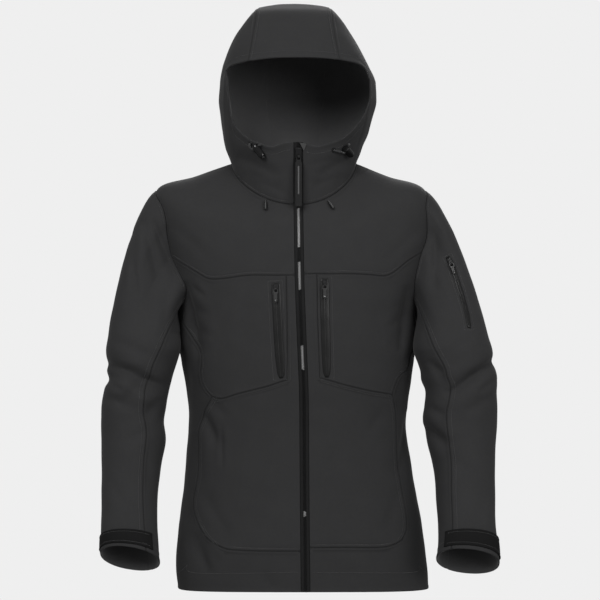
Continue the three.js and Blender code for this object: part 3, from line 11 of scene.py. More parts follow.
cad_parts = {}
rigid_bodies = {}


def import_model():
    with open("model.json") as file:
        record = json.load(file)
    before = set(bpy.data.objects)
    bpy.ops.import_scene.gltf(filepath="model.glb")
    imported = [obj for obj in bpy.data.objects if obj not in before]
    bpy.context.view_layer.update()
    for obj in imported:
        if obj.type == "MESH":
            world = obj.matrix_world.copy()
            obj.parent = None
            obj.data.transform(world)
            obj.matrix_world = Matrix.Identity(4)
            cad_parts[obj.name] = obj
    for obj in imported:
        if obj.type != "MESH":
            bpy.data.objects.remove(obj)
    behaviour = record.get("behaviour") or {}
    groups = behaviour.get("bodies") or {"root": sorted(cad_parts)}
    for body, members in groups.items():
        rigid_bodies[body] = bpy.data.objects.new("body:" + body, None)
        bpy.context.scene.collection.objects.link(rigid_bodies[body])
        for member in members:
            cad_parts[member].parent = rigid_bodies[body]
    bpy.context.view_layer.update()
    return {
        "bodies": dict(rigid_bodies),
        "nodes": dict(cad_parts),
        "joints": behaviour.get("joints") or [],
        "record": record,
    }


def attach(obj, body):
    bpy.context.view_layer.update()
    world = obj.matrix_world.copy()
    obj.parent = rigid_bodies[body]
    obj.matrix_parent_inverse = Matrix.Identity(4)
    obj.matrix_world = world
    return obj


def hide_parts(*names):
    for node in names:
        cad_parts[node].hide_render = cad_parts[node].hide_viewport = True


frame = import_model()

bl_info = {
    "name": "Softshell jacket",
    "version": (1, 0, 0),
    "blender": (4, 5, 0),
    "location": "3D View > Sidebar > Jacket",
    "description": "Dresses the jacket's frame in cloth, zips, stitching and trims",
    "category": "Object",
}

# Lengths are in millimetres until a mesh is made, as the patterns are.
MM = 0.001
BODY = "jacket"

# Mesh steps along each seam of the pattern, before each is split into finer ones
STEPS = {
    "shoulder": 4, "neck_front": 10, "neck_back_side": 6, "neck_back_middle": 4, "yoke_height": 4,
    "armhole_chest": 3, "armhole_side": 3, "armhole_back": 6, "chest_side": 5, "lower_side": 6, "hem_band": 3,
    "sleeve_cap": 6, "sleeve_tube": 16, "face_side": 8, "brow_side": 3, "crown_side": 8, "hood_height": 8,
}
FINE = 7
ZIP_HALF = 8.0
SHELL_WALL = 1.6
TAPE_WALL = 1.2


def table(columns, rows):
    """Columns of a table by name."""
    data = np.array(rows, float)
    return {name: data[:, i] for i, name in enumerate(columns.split())}


# Rings of the body from the neck seam down to the hem
BODY_RINGS = table("z_side z_front z_back left right front back square dip zip_x", [
    [0, -75, 14, 114, 100, 100, 72, 2.0, 1.2, 0.5],
    [-23, -100, -14, 180, 157, 112, 90, 2.0, 1.6, 1],
    [-47, -128, -58, 246, 221, 119, 103, 2.1, 2, 1.5],
    [-118, -165, -125, 239, 231, 125, 110, 2.3, 2, 2],
    [-190, -212, -190, 221, 218, 129, 113, 2.35, 2, 3],
    [-262, -268, -262, 203, 201, 131, 113, 2.35, 2, 5],
    [-330, -331, -330, 205, 203, 128, 109, 2.3, 2, 7.5],
    [-378, -378, -378, 197, 197, 124, 104, 2.3, 2, 9.5],
    [-430, -429, -430, 190.5, 190, 118, 100, 2.3, 2, 10.5],
    [-483, -481, -483, 192, 192, 114, 99, 2.3, 2, 10.8],
    [-560, -557, -560, 198.5, 203, 113, 102, 2.3, 2, 11.3],
    [-640, -636, -640, 208.5, 217, 115, 107, 2.3, 2, 12],
    [-700, -695, -702, 212.5, 224.5, 117, 110, 2.3, 2, 12.6],
    [-741, -736, -745, 208, 227, 118, 109, 2.3, 2, 13],
])
TIP_RING = 2
UNDERARM_RING = 5
HEM_RING = len(BODY_RINGS["left"]) - 1

HOOD_X, HOOD_Y, HOOD_Z = -6.0, 12.0, 95.0
HOOD_RINGS = table("z left right front back square", [
    [-90, -106, 95, -98, 70, 2.1],
    [-40, -107, 97, -105, 72, 2.1],
    [0, -113, 101, -112, 79, 2.1],
    [30, -122, 108.5, -119, 99, 2.2],
    [55, -127.5, 120, -122, 116, 2.3],
    [84, -132, 129, -125, 128, 2.35],
    [112, -136, 136, -127, 136, 2.4],
    [140, -135.5, 135.5, -129, 141, 2.5],
    [168, -130.5, 124, -131, 142, 2.6],
    [182, -126, 116.5, -126, 141, 2.7],
    [196, -121.5, 108.5, -116, 138, 2.8],
    [224, -109, 93.5, -91, 127, 2.9],
    [245, -96, 81.5, -68, 112, 2.9],
    [259, -86, 72, -48, 96, 2.9],
    [270, -77, 63, -27, 76, 2.8],
    [277, -66, 51, -8, 54, 2.6],
    [280.5, -34, 18, 7, 30, 2.2],
    [281.5, -7, -5, 11, 13, 2],
])

# Seams on the front as (x, z) seen from the front; sign is -1 on photo left
FRONT_SEAMS = {
    "left": {
        "sign": -1,
        "armhole": [(-237, -71), (-229, -96), (-226, -122), (-218, -163)],
        "armhole_lower": [(-206, -188), (-196, -212), (-198, -240)],
        "armhole_back": [(-200, -240), (-205, -212), (-214, -180), (-222, -150)],
        "armhole_back_upper": [(-229, -118), (-236, -86)],
        "yoke": [(-218, -163), (-196, -177), (-173, -191), (-155, -201), (-137, -202.5), (-114, -200),
                 (-80, -196)],
        "strip_x": (-20, -18),
        "slant": [(-147, -404.5), (-130, -407), (-104, -399), (-54.5, -386), (-18, -374)],
        "chest_side": [(-198, -240), (-196, -272), (-183, -303), (-167, -334), (-167, -367), (-161, -388),
                       (-147, -404.5)],
        "lower_side": [(-147, -404.5), (-163, -436), (-171, -470), (-174, -545), (-180, -590), (-168, -630),
                       (-153, -649)],
        "lower_hem": [(-153, -649), (-135, -659.5), (-116, -665), (-65, -666.5)],
    },
    "right": {
        "sign": 1,
        "armhole": [(222, -71), (223, -96), (223, -125), (213, -155)],
        "armhole_lower": [(207, -178), (202, -205), (200, -238)],
        "armhole_back": [(198, -240), (203, -212), (210, -180), (216, -150)],
        "armhole_back_upper": [(221, -118), (222, -86)],
        "yoke": [(213, -155), (188.5, -171), (163, -191), (147, -197), (121, -195), (87, -193.5)],
        "strip_x": (32, 38),
        "slant": [(162, -401), (123, -393.5), (80, -383), (38, -371)],
        "chest_side": [(200, -238), (198, -290), (194, -333), (188, -357), (175, -368), (166, -386),
                       (162, -401)],
        "lower_side": [(162, -401), (168, -441), (174.5, -541), (181, -577), (187, -628), (179, -651)],
        "lower_hem": [(179, -651), (160, -659.5), (137, -662), (80, -660.5)],
    },
}
FACE_EDGES = {
    "left": [(-24, 29.5), (-45, 23.5), (-65, 29.5), (-86, 39), (-107, 61), (-117, 91), (-120, 134),
             (-124, 157)],
    "right": [(29, 24.5), (48, 28), (72, 37), (87, 47.5), (106.5, 70), (118, 91), (124, 114), (124, 142)],
}
BROW_EDGES = {"left": [(-114, 165), (-84.5, 170)], "right": [(116, 160), (101, 168), (71, 172)]}
BRIM_MIDDLE = [(-45, 173.5), (-4, 174.5), (36, 174)]
FACE_TOP = 31.0
STRIP_EDGES = table("angle left right", [
    [-58, -84.5, 71],
    [-35, -76, 62],
    [0, -70, 56],
    [40, -64, 51],
    [80, -57, 45],
    [115, -48, 37],
    [150, -40, 29],
])
CROWN_ANGLES = [-45, -30, -12, 8, 28, 46, 63, 80]
NAPE_ANGLES = [100, 118, 134]

SLEEVE_COLUMNS = "z outer inner y depth lean drop turn"
SLEEVE_RINGS = {
    "left": table(SLEEVE_COLUMNS, [
        [-330, -330, -204.5, -63, 66, 5, 0, -12],
        [-358, -331, -214, -64, 64, 6, 0, -20],
        [-376, -325, -219, -65, 62, 7, 0, -24],
        [-394, -333, -223.5, -66, 61, 8, 0, -26],
        [-420, -337.5, -228, -67, 60, 12, 0, -24],
        [-446, -338, -232, -69, 58, 15, 0, -20],
        [-480, -337, -228.5, -74, 56, 18, 0, -16],
        [-530, -336, -237, -88, 51, 21, 0, -12],
        [-580, -335, -241, -104, 47, 23, 0, -8],
        [-622, -334, -239.5, -121, 44, 25, 0, -6],
        [-650, -334, -237.5, -131, 42, 30, 3, -4],
        [-676, -334, -235, -139, 41, 34, 7, -4],
    ]),
    "right": table(SLEEVE_COLUMNS, [
        [-330, 335, 201, -63, 66, 5, 0, -12],
        [-358, 340.5, 211.5, -64, 64, 6, 0, -20],
        [-376, 341, 214, -65, 62, 7, 0, -24],
        [-394, 341, 220, -66, 61, 8, 0, -26],
        [-420, 342.5, 218.5, -67, 60, 12, 0, -24],
        [-446, 342.5, 216, -69, 58, 15, 0, -20],
        [-480, 340, 223.5, -74, 56, 18, 0, -16],
        [-530, 337, 234, -88, 51, 21, 0, -12],
        [-580, 336, 237, -104, 47, 23, 0, -8],
        [-622, 336, 239.5, -121, 44, 25, 0, -6],
        [-650, 339, 239.5, -131, 42, 30, -2, -4],
        [-681, 341, 235.5, -139, 42, 35, -5, -4],
    ]),
}
SLEEVE_SQUARE = 2.15
CAP_LEAVE = {"tip": 20, "side": 48, "under": 18, "reach": 0.4, "land": 0.75}

# Folds: part, side, start, end, depth and half width. The first group is also in the frame's solids.
FOLDS = [
    ("body", 1, (-195, -205), (-167, -335), 5, 12),
    ("body", 1, (-164, -436), (-136, -490), 4, 10),
    ("body", 1, (-184, -640), (-150, -716), 4, 13),
    ("body", 1, (188, -214), (176, -330), 4, 12),
    ("body", 1, (196, -430), (176, -540), 4, 13),
    ("body", 0, (-178, -222), (-104, -336), 5, 15),
    ("body", 0, (178, -222), (110, -340), 5, 15),
    ("body", 0, (-130, -452), (122, -438), 4, 17),
    ("left", 1, (-252, -98), (-207, -198), 7, 11),
    ("left", 1, (-266, -100), (-238, -208), 5, 10),
    ("left", 1, (-345, -340), (-226, -388), 7, 13),
    ("left", 1, (-250, -366), (-306, -418), 5, 12),
    ("left", 0, (-345, -352), (-232, -384), 7, 14),
    ("left", 0, (-240, -110), (-262, -232), 5, 13),
    ("right", 1, (352, -334), (250, -402), 7, 12),
    ("right", 1, (218, -98), (208, -198), 5, 11),
    ("right", 1, (242, -112), (234, -224), 5, 11),
    ("right", 1, (214, -454), (258, -488), 6, 11),
    ("right", 0, (352, -348), (236, -396), 7, 14),
    ("right", 0, (236, -110), (258, -232), 5, 13),
    ("hood", 1, (-104, 12), (-30, -28), 3.5, 9),
    ("hood", 1, (32, -26), (88, 8), 3.5, 9),
    ("hood", 1, (-124, 128), (-112, 62), 3, 9),
    ("hood", 0, (-84, 52), (80, 44), 4, 14),
]
FOLD_LIP = 0.25
FOLD_SQUASH = 2.0
FOLD_TURN = 60.0

# Smaller creases that only the cloth shows. A negative depth is a ridge.
CREASES = [
    ("body", 1, (-204, -240), (-204, -334), -3.6, 16),
    ("body", 0, (-204, -240), (-204, -334), -3.6, 16),
    ("body", 1, (-206, -262), (-206, -292), -2.4, 12),
    ("body", 0, (-206, -262), (-206, -292), -2.4, 12),
    ("left", 1, (-210, -262), (-210, -294), -2.4, 12),
    ("left", 0, (-210, -262), (-210, -294), -2.4, 12),
    ("body", 1, (203, -240), (203, -334), -3.6, 16),
    ("body", 0, (203, -240), (203, -334), -3.6, 16),
    ("body", 1, (-199, -204), (-168, -340), 3.4, 5.5),
    ("body", 1, (-182, -214), (-160, -232), 2.0, 5),
    ("body", 1, (190, -210), (177, -334), 2.6, 5.5),
    ("body", 1, (-162, -432), (-143, -474), 2.6, 5),
    ("body", 1, (-180, -640), (-154, -706), 2.6, 6),
    ("body", 1, (-172, -640), (-132, -690), 1.8, 5),
    ("body", 1, (-196, -340), (-186, -400), 1.8, 7),
    ("body", 1, (-150, -412), (-118, -440), 1.6, 6),
    ("body", 1, (194, -432), (178, -536), 2.4, 6),
    ("left", 1, (-254, -98), (-210, -194), 3.6, 5),
    ("left", 1, (-267, -100), (-241, -204), 3.0, 5),
    ("left", 1, (-288, -156), (-277, -232), 2.6, 5),
    ("left", 1, (-342, -346), (-262, -360), 3.2, 6),
    ("left", 1, (-300, -356), (-232, -384), 3.0, 6),
    ("left", 1, (-288, -372), (-244, -402), 3.0, 7),
    ("left", 1, (-330, -376), (-296, -392), 2.2, 6),
    ("left", 1, (-222, -214), (-232, -286), 2.0, 7),
    ("right", 1, (216, -104), (206, -196), 2.8, 5),
    ("right", 1, (240, -118), (233, -220), 2.4, 5),
    ("right", 1, (348, -338), (292, -368), 3.2, 6),
    ("right", 1, (306, -360), (256, -398), 3.2, 6),
    ("right", 1, (222, -340), (246, -362), 3.0, 6),
    ("right", 1, (218, -456), (252, -480), 3.0, 6),
    ("right", 1, (340, -372), (306, -396), 2.4, 6),
    ("body", 1, (-222, -105), (-150, -165), 1.6, 8),
    ("body", 1, (-120, -60), (-60, -120), 1.2, 9),
    ("body", 1, (215, -110), (150, -170), 1.6, 8),
    ("body", 1, (112, -66), (66, -130), 1.2, 9),
    ("body", 1, (-190, -250), (-150, -262), 1.4, 7),
    ("body", 1, (-186, -286), (-140, -300), 1.2, 7),
    ("body", 1, (192, -262), (150, -286), 1.3, 7),
    ("body", 1, (-131, -452), (-130, -528), 1.5, 4),
    ("body", 1, (-176, -470), (-168, -560), 2.2, 9),
    ("body", 1, (-166, -566), (-120, -640), 1.6, 9),
    ("body", 1, (150, -420), (120, -470), 1.3, 9),
    ("body", 1, (178, -560), (150, -640), 1.6, 10),
    ("body", 1, (-60, -700), (-40, -738), 1.2, 9),
    ("body", 1, (90, -690), (110, -738), 1.2, 9),
    ("body", 0, (-226, -120), (-160, -150), 1.8, 10),
    ("body", 0, (214, -118), (150, -152), 1.8, 10),
    ("body", 0, (-60, -30), (40, -34), 1.4, 9),
    ("body", 0, (-120, -380), (-30, -410), 1.8, 12),
    ("body", 0, (118, -376), (20, -412), 1.8, 12),
    ("body", 0, (-80, -490), (70, -505), 2.0, 14),
    ("body", 0, (-160, -560), (-130, -690), 1.8, 14),
    ("body", 0, (158, -550), (132, -690), 1.8, 14),
    ("left", 1, (-292, -112), (-276, -176), 2.2, 7),
    ("left", 1, (-285, -162), (-274, -236), 1.8, 7),
    ("left", 1, (-240, -210), (-262, -300), 1.6, 10),
    ("left", 1, (-318, -306), (-252, -330), 1.8, 9),
    ("left", 1, (-330, -404), (-270, -424), 2.0, 8),
    ("left", 1, (-236, -404), (-262, -440), 2.4, 8),
    ("left", 1, (-248, -452), (-296, -486), 1.6, 9),
    ("left", 1, (-262, -486), (-250, -560), 1.6, 7),
    ("left", 1, (-322, -540), (-290, -590), 1.2, 9),
    ("left", 0, (-330, -300), (-250, -330), 2.0, 10),
    ("left", 0, (-326, -420), (-250, -440), 2.2, 10),
    ("left", 0, (-300, -520), (-270, -600), 1.4, 10),
    ("right", 1, (262, -120), (262, -190), 1.6, 8),
    ("right", 1, (300, -300), (250, -330), 1.6, 9),
    ("right", 1, (232, -352), (258, -384), 3.2, 9),
    ("right", 1, (330, -400), (286, -430), 1.6, 9),
    ("right", 1, (222, -420), (250, -436), 2.6, 7),
    ("right", 1, (250, -500), (292, -530), 1.5, 10),
    ("right", 1, (322, -560), (300, -620), 1.2, 10),
    ("right", 0, (330, -300), (250, -330), 2.0, 10),
    ("right", 0, (330, -424), (250, -446), 2.2, 10),
    ("right", 0, (300, -520), (270, -600), 1.4, 10),
    ("hood", 1, (-92, -16), (-24, -44), 1.6, 7),
    ("hood", 1, (-70, -34), (-18, -56), 1.4, 6),
    ("hood", 1, (24, -44), (76, -22), 1.6, 7),
    ("hood", 1, (20, -8), (64, 6), 1.4, 6),
    ("hood", 1, (-118, 60), (-88, 30), 1.6, 7),
    ("hood", 1, (116, 70), (96, 34), 1.6, 7),
    ("hood", 0, (-70, 92), (66, 84), 1.8, 12),
    ("hood", 0, (-60, 24), (56, 20), 1.8, 9),
]


def catmull(p0, p1, p2, p3, t):
    """Catmull-Rom curve between the second and third of four values."""
    return 0.5 * (2 * p1 + (p2 - p0) * t + (2 * p0 - 5 * p1 + 4 * p2 - p3) * t ** 2
                  + (3 * p1 - p0 - 3 * p2 + p3) * t ** 3)


def read_at(values, at):
    """Smooth curve through evenly spaced values, read at fractional places."""
    values = np.asarray(values, float)
    at = np.asarray(at, float)
    last = len(values) - 1
    i = np.clip(np.floor(at).astype(int), 0, last - 1)
    t = at - i
    a, b = values[i], values[i + 1]
    if values.ndim > 1:
        t = t[..., None]
        low, high = (i > 0)[..., None], (i + 2 <= last)[..., None]
    else:
        low, high = i > 0, i + 2 <= last
    before = np.where(low, values[np.maximum(i - 1, 0)], 2 * a - b)
    after = np.where(high, values[np.minimum(i + 2, last)], 2 * b - a)
    return catmull(before, a, b, after, t)


def read_smooth(rows, key, name, at):
    """Curve through a table's column that never overshoots its values."""
    x, y = rows[key], rows[name]
    slope = np.diff(y) / np.diff(x)
    tangent = np.concatenate([slope[:1], slope[1:], slope[-1:]])
    product = slope[:-1] * slope[1:]
    total = np.where(product > 0, slope[:-1] + slope[1:], 1)
    tangent[1:-1] = np.where(product > 0, 2 * product / total, 0)
    at = np.clip(at, x[0], x[-1])
    i = np.clip(np.searchsorted(x, at, side="left") - 1, 0, len(x) - 2)
    h = x[i + 1] - x[i]
    t = (at - x[i]) / h
    rise = y[i + 1] - y[i]
    m0, m1 = tangent[i] * h, tangent[i + 1] * h
    return y[i] + m0 * t + (3 * rise - 2 * m0 - m1) * t ** 2 + (m0 + m1 - 2 * rise) * t ** 3


def unit(vectors):
    """Vectors made one long."""
    return vectors / np.maximum(np.linalg.norm(vectors, axis=-1, keepdims=True), 1e-9)


def signed_power(value, power):
    """A power that keeps the sign."""
    return np.sign(value) * np.abs(value) ** power


def body_point(angle, ring):
    """Points of the body: angle is 0 at the front, 90 at photo right, 180 behind."""
    angle, ring = np.broadcast_arrays(np.asarray(angle, float), np.asarray(ring, float))
    get = {name: read_at(values, ring) for name, values in BODY_RINGS.items()}
    sin, cos = np.sin(np.radians(angle)), np.cos(np.radians(angle))
    power = 2 / get["square"]
    half = np.where(sin < 0, get["left"], get["right"])
    depth = np.where(cos > 0, get["front"], get["back"])
    end = np.where(cos > 0, get["z_front"], get["z_back"])
    blend = np.abs(cos) ** get["dip"]
    return np.stack([half * signed_power(sin, power), -depth * signed_power(cos, power),
                     get["z_side"] + (end - get["z_side"]) * blend], axis=-1)


BISECTIONS = 30


def body_spots(pairs, back=False):
    """Where lines of sight from the front, or from behind, meet the body, as rows of angle and ring."""
    pairs = np.atleast_2d(np.array(pairs, float))
    x, z = pairs[:, 0], pairs[:, 1]
    sign = np.sign(x)

    def angle_at(ring):
        low, high = np.zeros_like(x), np.full_like(x, 90)
        for _ in range(BISECTIONS):
            middle = (low + high) / 2
            inside = np.abs(body_point(sign * middle, ring)[:, 0]) < np.abs(x)
            low, high = np.where(inside, middle, low), np.where(inside, high, middle)
        side = (low + high) / 2
        return sign * ((180 - side) if back else side)

    top, bottom = np.zeros_like(x), np.full_like(x, HEM_RING)
    for _ in range(BISECTIONS):
        middle = (top + bottom) / 2
        above = body_point(angle_at(middle), middle)[:, 2] > z
        top, bottom = np.where(above, middle, top), np.where(above, bottom, middle)
    ring = (top + bottom) / 2
    return np.stack([angle_at(ring), ring], axis=1)


def spots_at_x(x, ring):
    """The spots on given rings at a given x on the front."""
    x, ring = np.broadcast_arrays(np.asarray(x, float), np.asarray(ring, float))
    low, high = np.full(x.shape, -89.0), np.full(x.shape, 89.0)
    for _ in range(BISECTIONS):
        middle = (low + high) / 2
        short = body_point(middle, ring)[..., 0] < x
        low, high = np.where(short, middle, low), np.where(short, high, middle)
    return np.stack([(low + high) / 2, ring], axis=-1)


def fold_depth(part, x, z, frontness):
    """How deep the folds of one part are at some places."""
    total = np.zeros_like(x)
    for folds in (FOLDS, CREASES):
        for fold_part, front, (x0, z0), (x1, z1), depth, width in folds:
            if fold_part != part:
                continue
            dx, dz = x1 - x0, z1 - z0
            length = math.hypot(dx, dz)
            along = ((x - x0) * dx + (z - z0) * dz) / length ** 2
            off = np.abs((x - x0) * dz - (z - z0) * dx) / length / width
            trough = np.exp(-off * off) - FOLD_LIP * np.exp(-(off - 2) ** 2)
            weight = frontness if front else 1 - frontness
            swell = np.sqrt(np.sin(np.pi * np.clip(along, 0, 1)))
            total += weight * depth * swell * trough
    return total


def unevenness(points):
    """Slow rise and fall of cloth over a few centimetres, the same on every side."""
    x, y, z = (points[..., k] for k in range(3))
    return (0.45 * np.sin(x / 23 + 1.3 * np.sin(z / 41)) * np.sin(z / 31 + y / 37)
            + 0.3 * np.sin(x / 11 + z / 17 + 2 * np.sin(y / 29)) * np.sin(z / 13 - x / 19 + 0.7))


def press_folds(part, points, middle):
    """Presses the folds of one part into its points, towards its middle line."""
    away = middle - points
    inward = np.stack([away[..., 0], FOLD_SQUASH * away[..., 1], np.zeros(away.shape[:-1])], axis=-1)
    frontness = np.clip(0.5 + away[..., 1] / FOLD_TURN, 0, 1)
    depth = fold_depth(part, points[..., 0], points[..., 2], frontness) + unevenness(points)
    return points + unit(inward) * depth[..., None]


def spot_points(spots):
    """Points of the body's cloth at given angles and rings."""
    return press_folds("body", body_point(spots[..., 0], spots[..., 1]), np.zeros(3))


def sample(controls, count, place=lambda values: values):
    """Smooth curve through control values, sampled evenly by the length of the line they stand for."""
    controls = np.array(controls, float)
    fine = 24 * max(1, FINE // 2)
    dense = read_at(controls, np.arange((len(controls) - 1) * fine + 1) / fine)
    points = place(dense)
    length = np.concatenate([[0], np.cumsum(np.linalg.norm(np.diff(points, axis=0), axis=1))])
    target = np.linspace(0, length[-1], count + 1)
    return np.stack([np.interp(target, length, dense[:, k]) for k in range(dense.shape[1])], axis=1)


def sample_spots(controls, step_count):
    """A seam on the body, through given spots."""
    return sample(controls, step_count * FINE, spot_points)


def sample_points(controls, step_count):
    """A seam through given points."""
    return sample(controls, step_count * FINE)


def join(*runs):
    """One line from several that meet end to end."""
    return np.concatenate([run if i == 0 else run[1:] for i, run in enumerate(runs)])


def coons(top, bottom, start, end):
    """Fills the patch between four sampled sides."""
    u = np.linspace(0, 1, len(top))[None, :, None]
    v = np.linspace(0, 1, len(start))[:, None, None]
    return ((1 - v) * top[None] + v * bottom[None] + (1 - u) * start[:, None] + u * end[:, None]
            - (1 - u) * (1 - v) * top[0] - u * (1 - v) * top[-1]
            - (1 - u) * v * bottom[0] - u * v * bottom[-1])


def spot_patch(top, bottom, start, end):
    """A patch of the body's cloth between four seams."""
    return spot_points(coons(top, bottom, start, end))


def body_seams(name):
    """Every sampled seam of one half of the body."""
    seams = FRONT_SEAMS[name]
    sign = seams["sign"]
    side = 90.0 * sign
    tip, under = [side, TIP_RING], [side, UNDERARM_RING]
    spots = {key: body_spots(seams[key]) for key in
             ("armhole", "armhole_lower", "yoke", "slant", "chest_side", "lower_side", "lower_hem")}
    back, upper = (body_spots(seams[key], True) for key in ("armhole_back", "armhole_back_upper"))

    def zip_spots(ring):
        return spots_at_x(read_at(BODY_RINGS["zip_x"], ring) + sign * ZIP_HALF, ring)

    strip_top = body_spots([(seams["strip_x"][0], seams["yoke"][-1][1])])[0]
    strip_bottom = spots["slant"][-1]
    lower_ring = body_spots([(sign * ZIP_HALF + 0.1, seams["lower_hem"][-1][1])])[0][1]
    across = STEPS["shoulder"] + STEPS["neck_front"]
    chest_rows = STEPS["armhole_chest"] + STEPS["chest_side"]

    def zip_run(start, end, count):
        return zip_spots(np.linspace(start, end, count * FINE + 1))

    def to_zip(run, ring):
        ends = np.stack([run[-1], zip_spots(np.array([ring]))[0]])
        return join(run, sample(ends, FINE, spot_points))

    run = {
        "shoulder": sample_spots([tip, [side, 1], [side, 0]], STEPS["shoulder"]),
        "neck": sample_spots([[side, 0], [60 * sign, 0], [30 * sign, 0], zip_spots(np.array([0.0]))[0]],
                             STEPS["neck_front"]),
        "armhole_yoke": sample_spots([tip, *spots["armhole"]], STEPS["yoke_height"]),
        "armhole_chest": sample_spots([spots["armhole"][-1], *spots["armhole_lower"]],
                                      STEPS["armhole_chest"]),
        "armhole_side": sample_spots([spots["chest_side"][0], under], STEPS["armhole_side"]),
        "armhole_back": sample_spots([under, *back], STEPS["armhole_back"]),
        "armhole_back_yoke": sample_spots([back[-1], *upper, tip], STEPS["yoke_height"]),
        "yoke": to_zip(sample_spots([*spots["yoke"], strip_top], across - 1), strip_top[1]),
        "zip_yoke": zip_run(0, strip_top[1], STEPS["yoke_height"]),
        "strip": sample_spots([strip_top, strip_bottom], chest_rows),
        "zip_strip": zip_run(strip_top[1], strip_bottom[1], chest_rows),
        "chest_side": sample_spots(spots["chest_side"], STEPS["chest_side"]),
        "slant": to_zip(sample_spots(spots["slant"], across - 1), strip_bottom[1]),
        "lower_side": sample_spots([spots["slant"][0], *spots["lower_side"][1:]], STEPS["lower_side"]),
        "lower_hem": sample_spots([*spots["lower_hem"], zip_spots(np.array([lower_ring]))[0]], across),
        "zip_lower": zip_run(strip_bottom[1], lower_ring, STEPS["lower_side"]),
        "zip_hem": zip_run(lower_ring, HEM_RING, STEPS["hem_band"]),
        "side_seam": sample_spots([under, [94 * sign, 7], [97 * sign, 10], [98 * sign, HEM_RING]],
                                  STEPS["chest_side"] + STEPS["lower_side"]),
        "hem": sample_spots([[98 * sign, HEM_RING], [75 * sign, HEM_RING], [40 * sign, HEM_RING],
                             zip_spots(np.array([float(HEM_RING)]))[0]], across),
    }
    whole = ("armhole_yoke", "armhole_chest", "armhole_side", "armhole_back", "armhole_back_yoke")
    run["armhole"] = join(*(run[key] for key in whole))
    run["zip"] = join(run["zip_yoke"], run["zip_strip"], run["zip_lower"], run["zip_hem"])
    return run


def hood_field(points):
    """How far outside the hood's form points lie. Negative inside."""
    x, y, z = (points[..., k] for k in range(3))
    columns = ("left", "right", "front", "back", "square")
    get = {name: read_smooth(HOOD_RINGS, "z", name, z) for name in columns}
    half = np.where(x < HOOD_X, HOOD_X - get["left"], get["right"] - HOOD_X)
    depth = np.where(y < HOOD_Y, HOOD_Y - get["front"], get["back"] - HOOD_Y)
    value = (np.abs(x - HOOD_X) / half) ** get["square"] + (np.abs(y - HOOD_Y) / depth) ** get["square"] - 1
    return np.where(z >= HOOD_RINGS["z"][-1], 1.0, value)


# How far out the form of the hood is looked for, and how often that stretch is halved
HOOD_REACH = 400.0
HOOD_BISECTIONS = 40


def hood_cast(start, direction):
    """Points of the hood's form in some direction from inside it."""
    low, high = np.zeros(start.shape[:-1]), np.full(start.shape[:-1], HOOD_REACH)
    for _ in range(HOOD_BISECTIONS):
        middle = (low + high) / 2
        inside = hood_field(start + direction * middle[..., None]) < 0
        low, high = np.where(inside, middle, low), np.where(inside, high, middle)
    return start + direction * ((low + high) / 2)[..., None]


def hood_project(points):
    """The points of the hood's form straight out from its middle, through others."""
    centre = np.stack([np.full(points.shape[:-1], HOOD_X), np.full(points.shape[:-1], HOOD_Y),
                       np.minimum(points[..., 2], HOOD_Z)], axis=-1)
    return hood_cast(centre, unit(points - centre))


def hood_front(pairs):
    """Points on the front of the hood at given x and z."""
    pairs = np.array(pairs, float)
    start = np.stack([pairs[..., 0], np.full(pairs.shape[:-1], HOOD_Y), pairs[..., 1]], axis=-1)
    return hood_cast(start, np.broadcast_to(np.array([0.0, -1.0, 0.0]), start.shape))


def hood_over(x, angle):
    """Points over the crown: angle is 0 straight up and 90 behind."""
    x, angle = np.broadcast_arrays(np.asarray(x, float), np.radians(np.asarray(angle, float)))
    start = np.stack([x, np.full(x.shape, HOOD_Y), np.full(x.shape, HOOD_Z)], axis=-1)
    return hood_cast(start, np.stack([np.zeros(x.shape), np.sin(angle), np.cos(angle)], axis=-1))


# Shares of its way at which a line round the hood is held to the hood's form
HELD_SHARES = (0.2, 0.4, 0.6, 0.8)


def around_hood(start, end, step_count):
    """A line round the side of the hood from one point to another, sinking evenly as it goes."""
    side = np.sign(start[0] - HOOD_X)

    def turn_of(point):
        return math.atan2(abs(point[0] - HOOD_X), HOOD_Y - point[1])

    inner = []
    for t in HELD_SHARES:
        turn = turn_of(start) + (turn_of(end) - turn_of(start)) * t
        centre = np.array([HOOD_X, HOOD_Y, start[2] + (end[2] - start[2]) * t])
        inner.append(hood_cast(centre, np.array([side * math.sin(turn), -math.cos(turn), 0.0])))
    return sample_points([start, *inner, end], step_count)


def hood_patch(top, bottom, start, end):
    """Fits a patch to the hood while its four sides stay where they are."""
    raw = coons(top, bottom, start, end)
    shift = coons(*(run - hood_project(run) for run in (top, bottom, start, end)))
    fitted = hood_project(raw) + shift
    pressed = press_folds("hood", fitted, np.array([HOOD_X, HOOD_Y, HOOD_Z]))
    rows, columns = raw.shape[:2]
    v = np.minimum(np.arange(rows), np.arange(rows)[::-1])[:, None] / FINE
    u = np.minimum(np.arange(columns), np.arange(columns)[::-1])[None] / FINE
    hold = np.clip(np.minimum(u, v), 0, 1)[..., None]
    return fitted + (pressed - fitted) * hold


def sleeve_point(rings, sign, row, angle):
    """Points of a sleeve: angle is 0 at its outer edge and 90 at the front."""
    row, angle = np.broadcast_arrays(np.asarray(row, float), np.asarray(angle, float))
    get = {name: read_at(values, row) for name, values in rings.items()}
    half = np.abs(get["outer"] - get["inner"]) / 2
    middle = (get["outer"] + get["inner"]) / 2
    turned = np.radians(angle + get["turn"] * np.sin(np.radians(angle)) ** 2)
    across = half * signed_power(np.cos(turned), 2 / SLEEVE_SQUARE)
    forward = get["depth"] * signed_power(np.sin(turned), 2 / SLEEVE_SQUARE)
    lean = np.radians(get["lean"])
    return np.stack([middle + sign * across, get["y"] - forward * np.cos(lean),
                     get["z"] + forward * np.sin(lean) + get["drop"] * across / half], axis=-1)


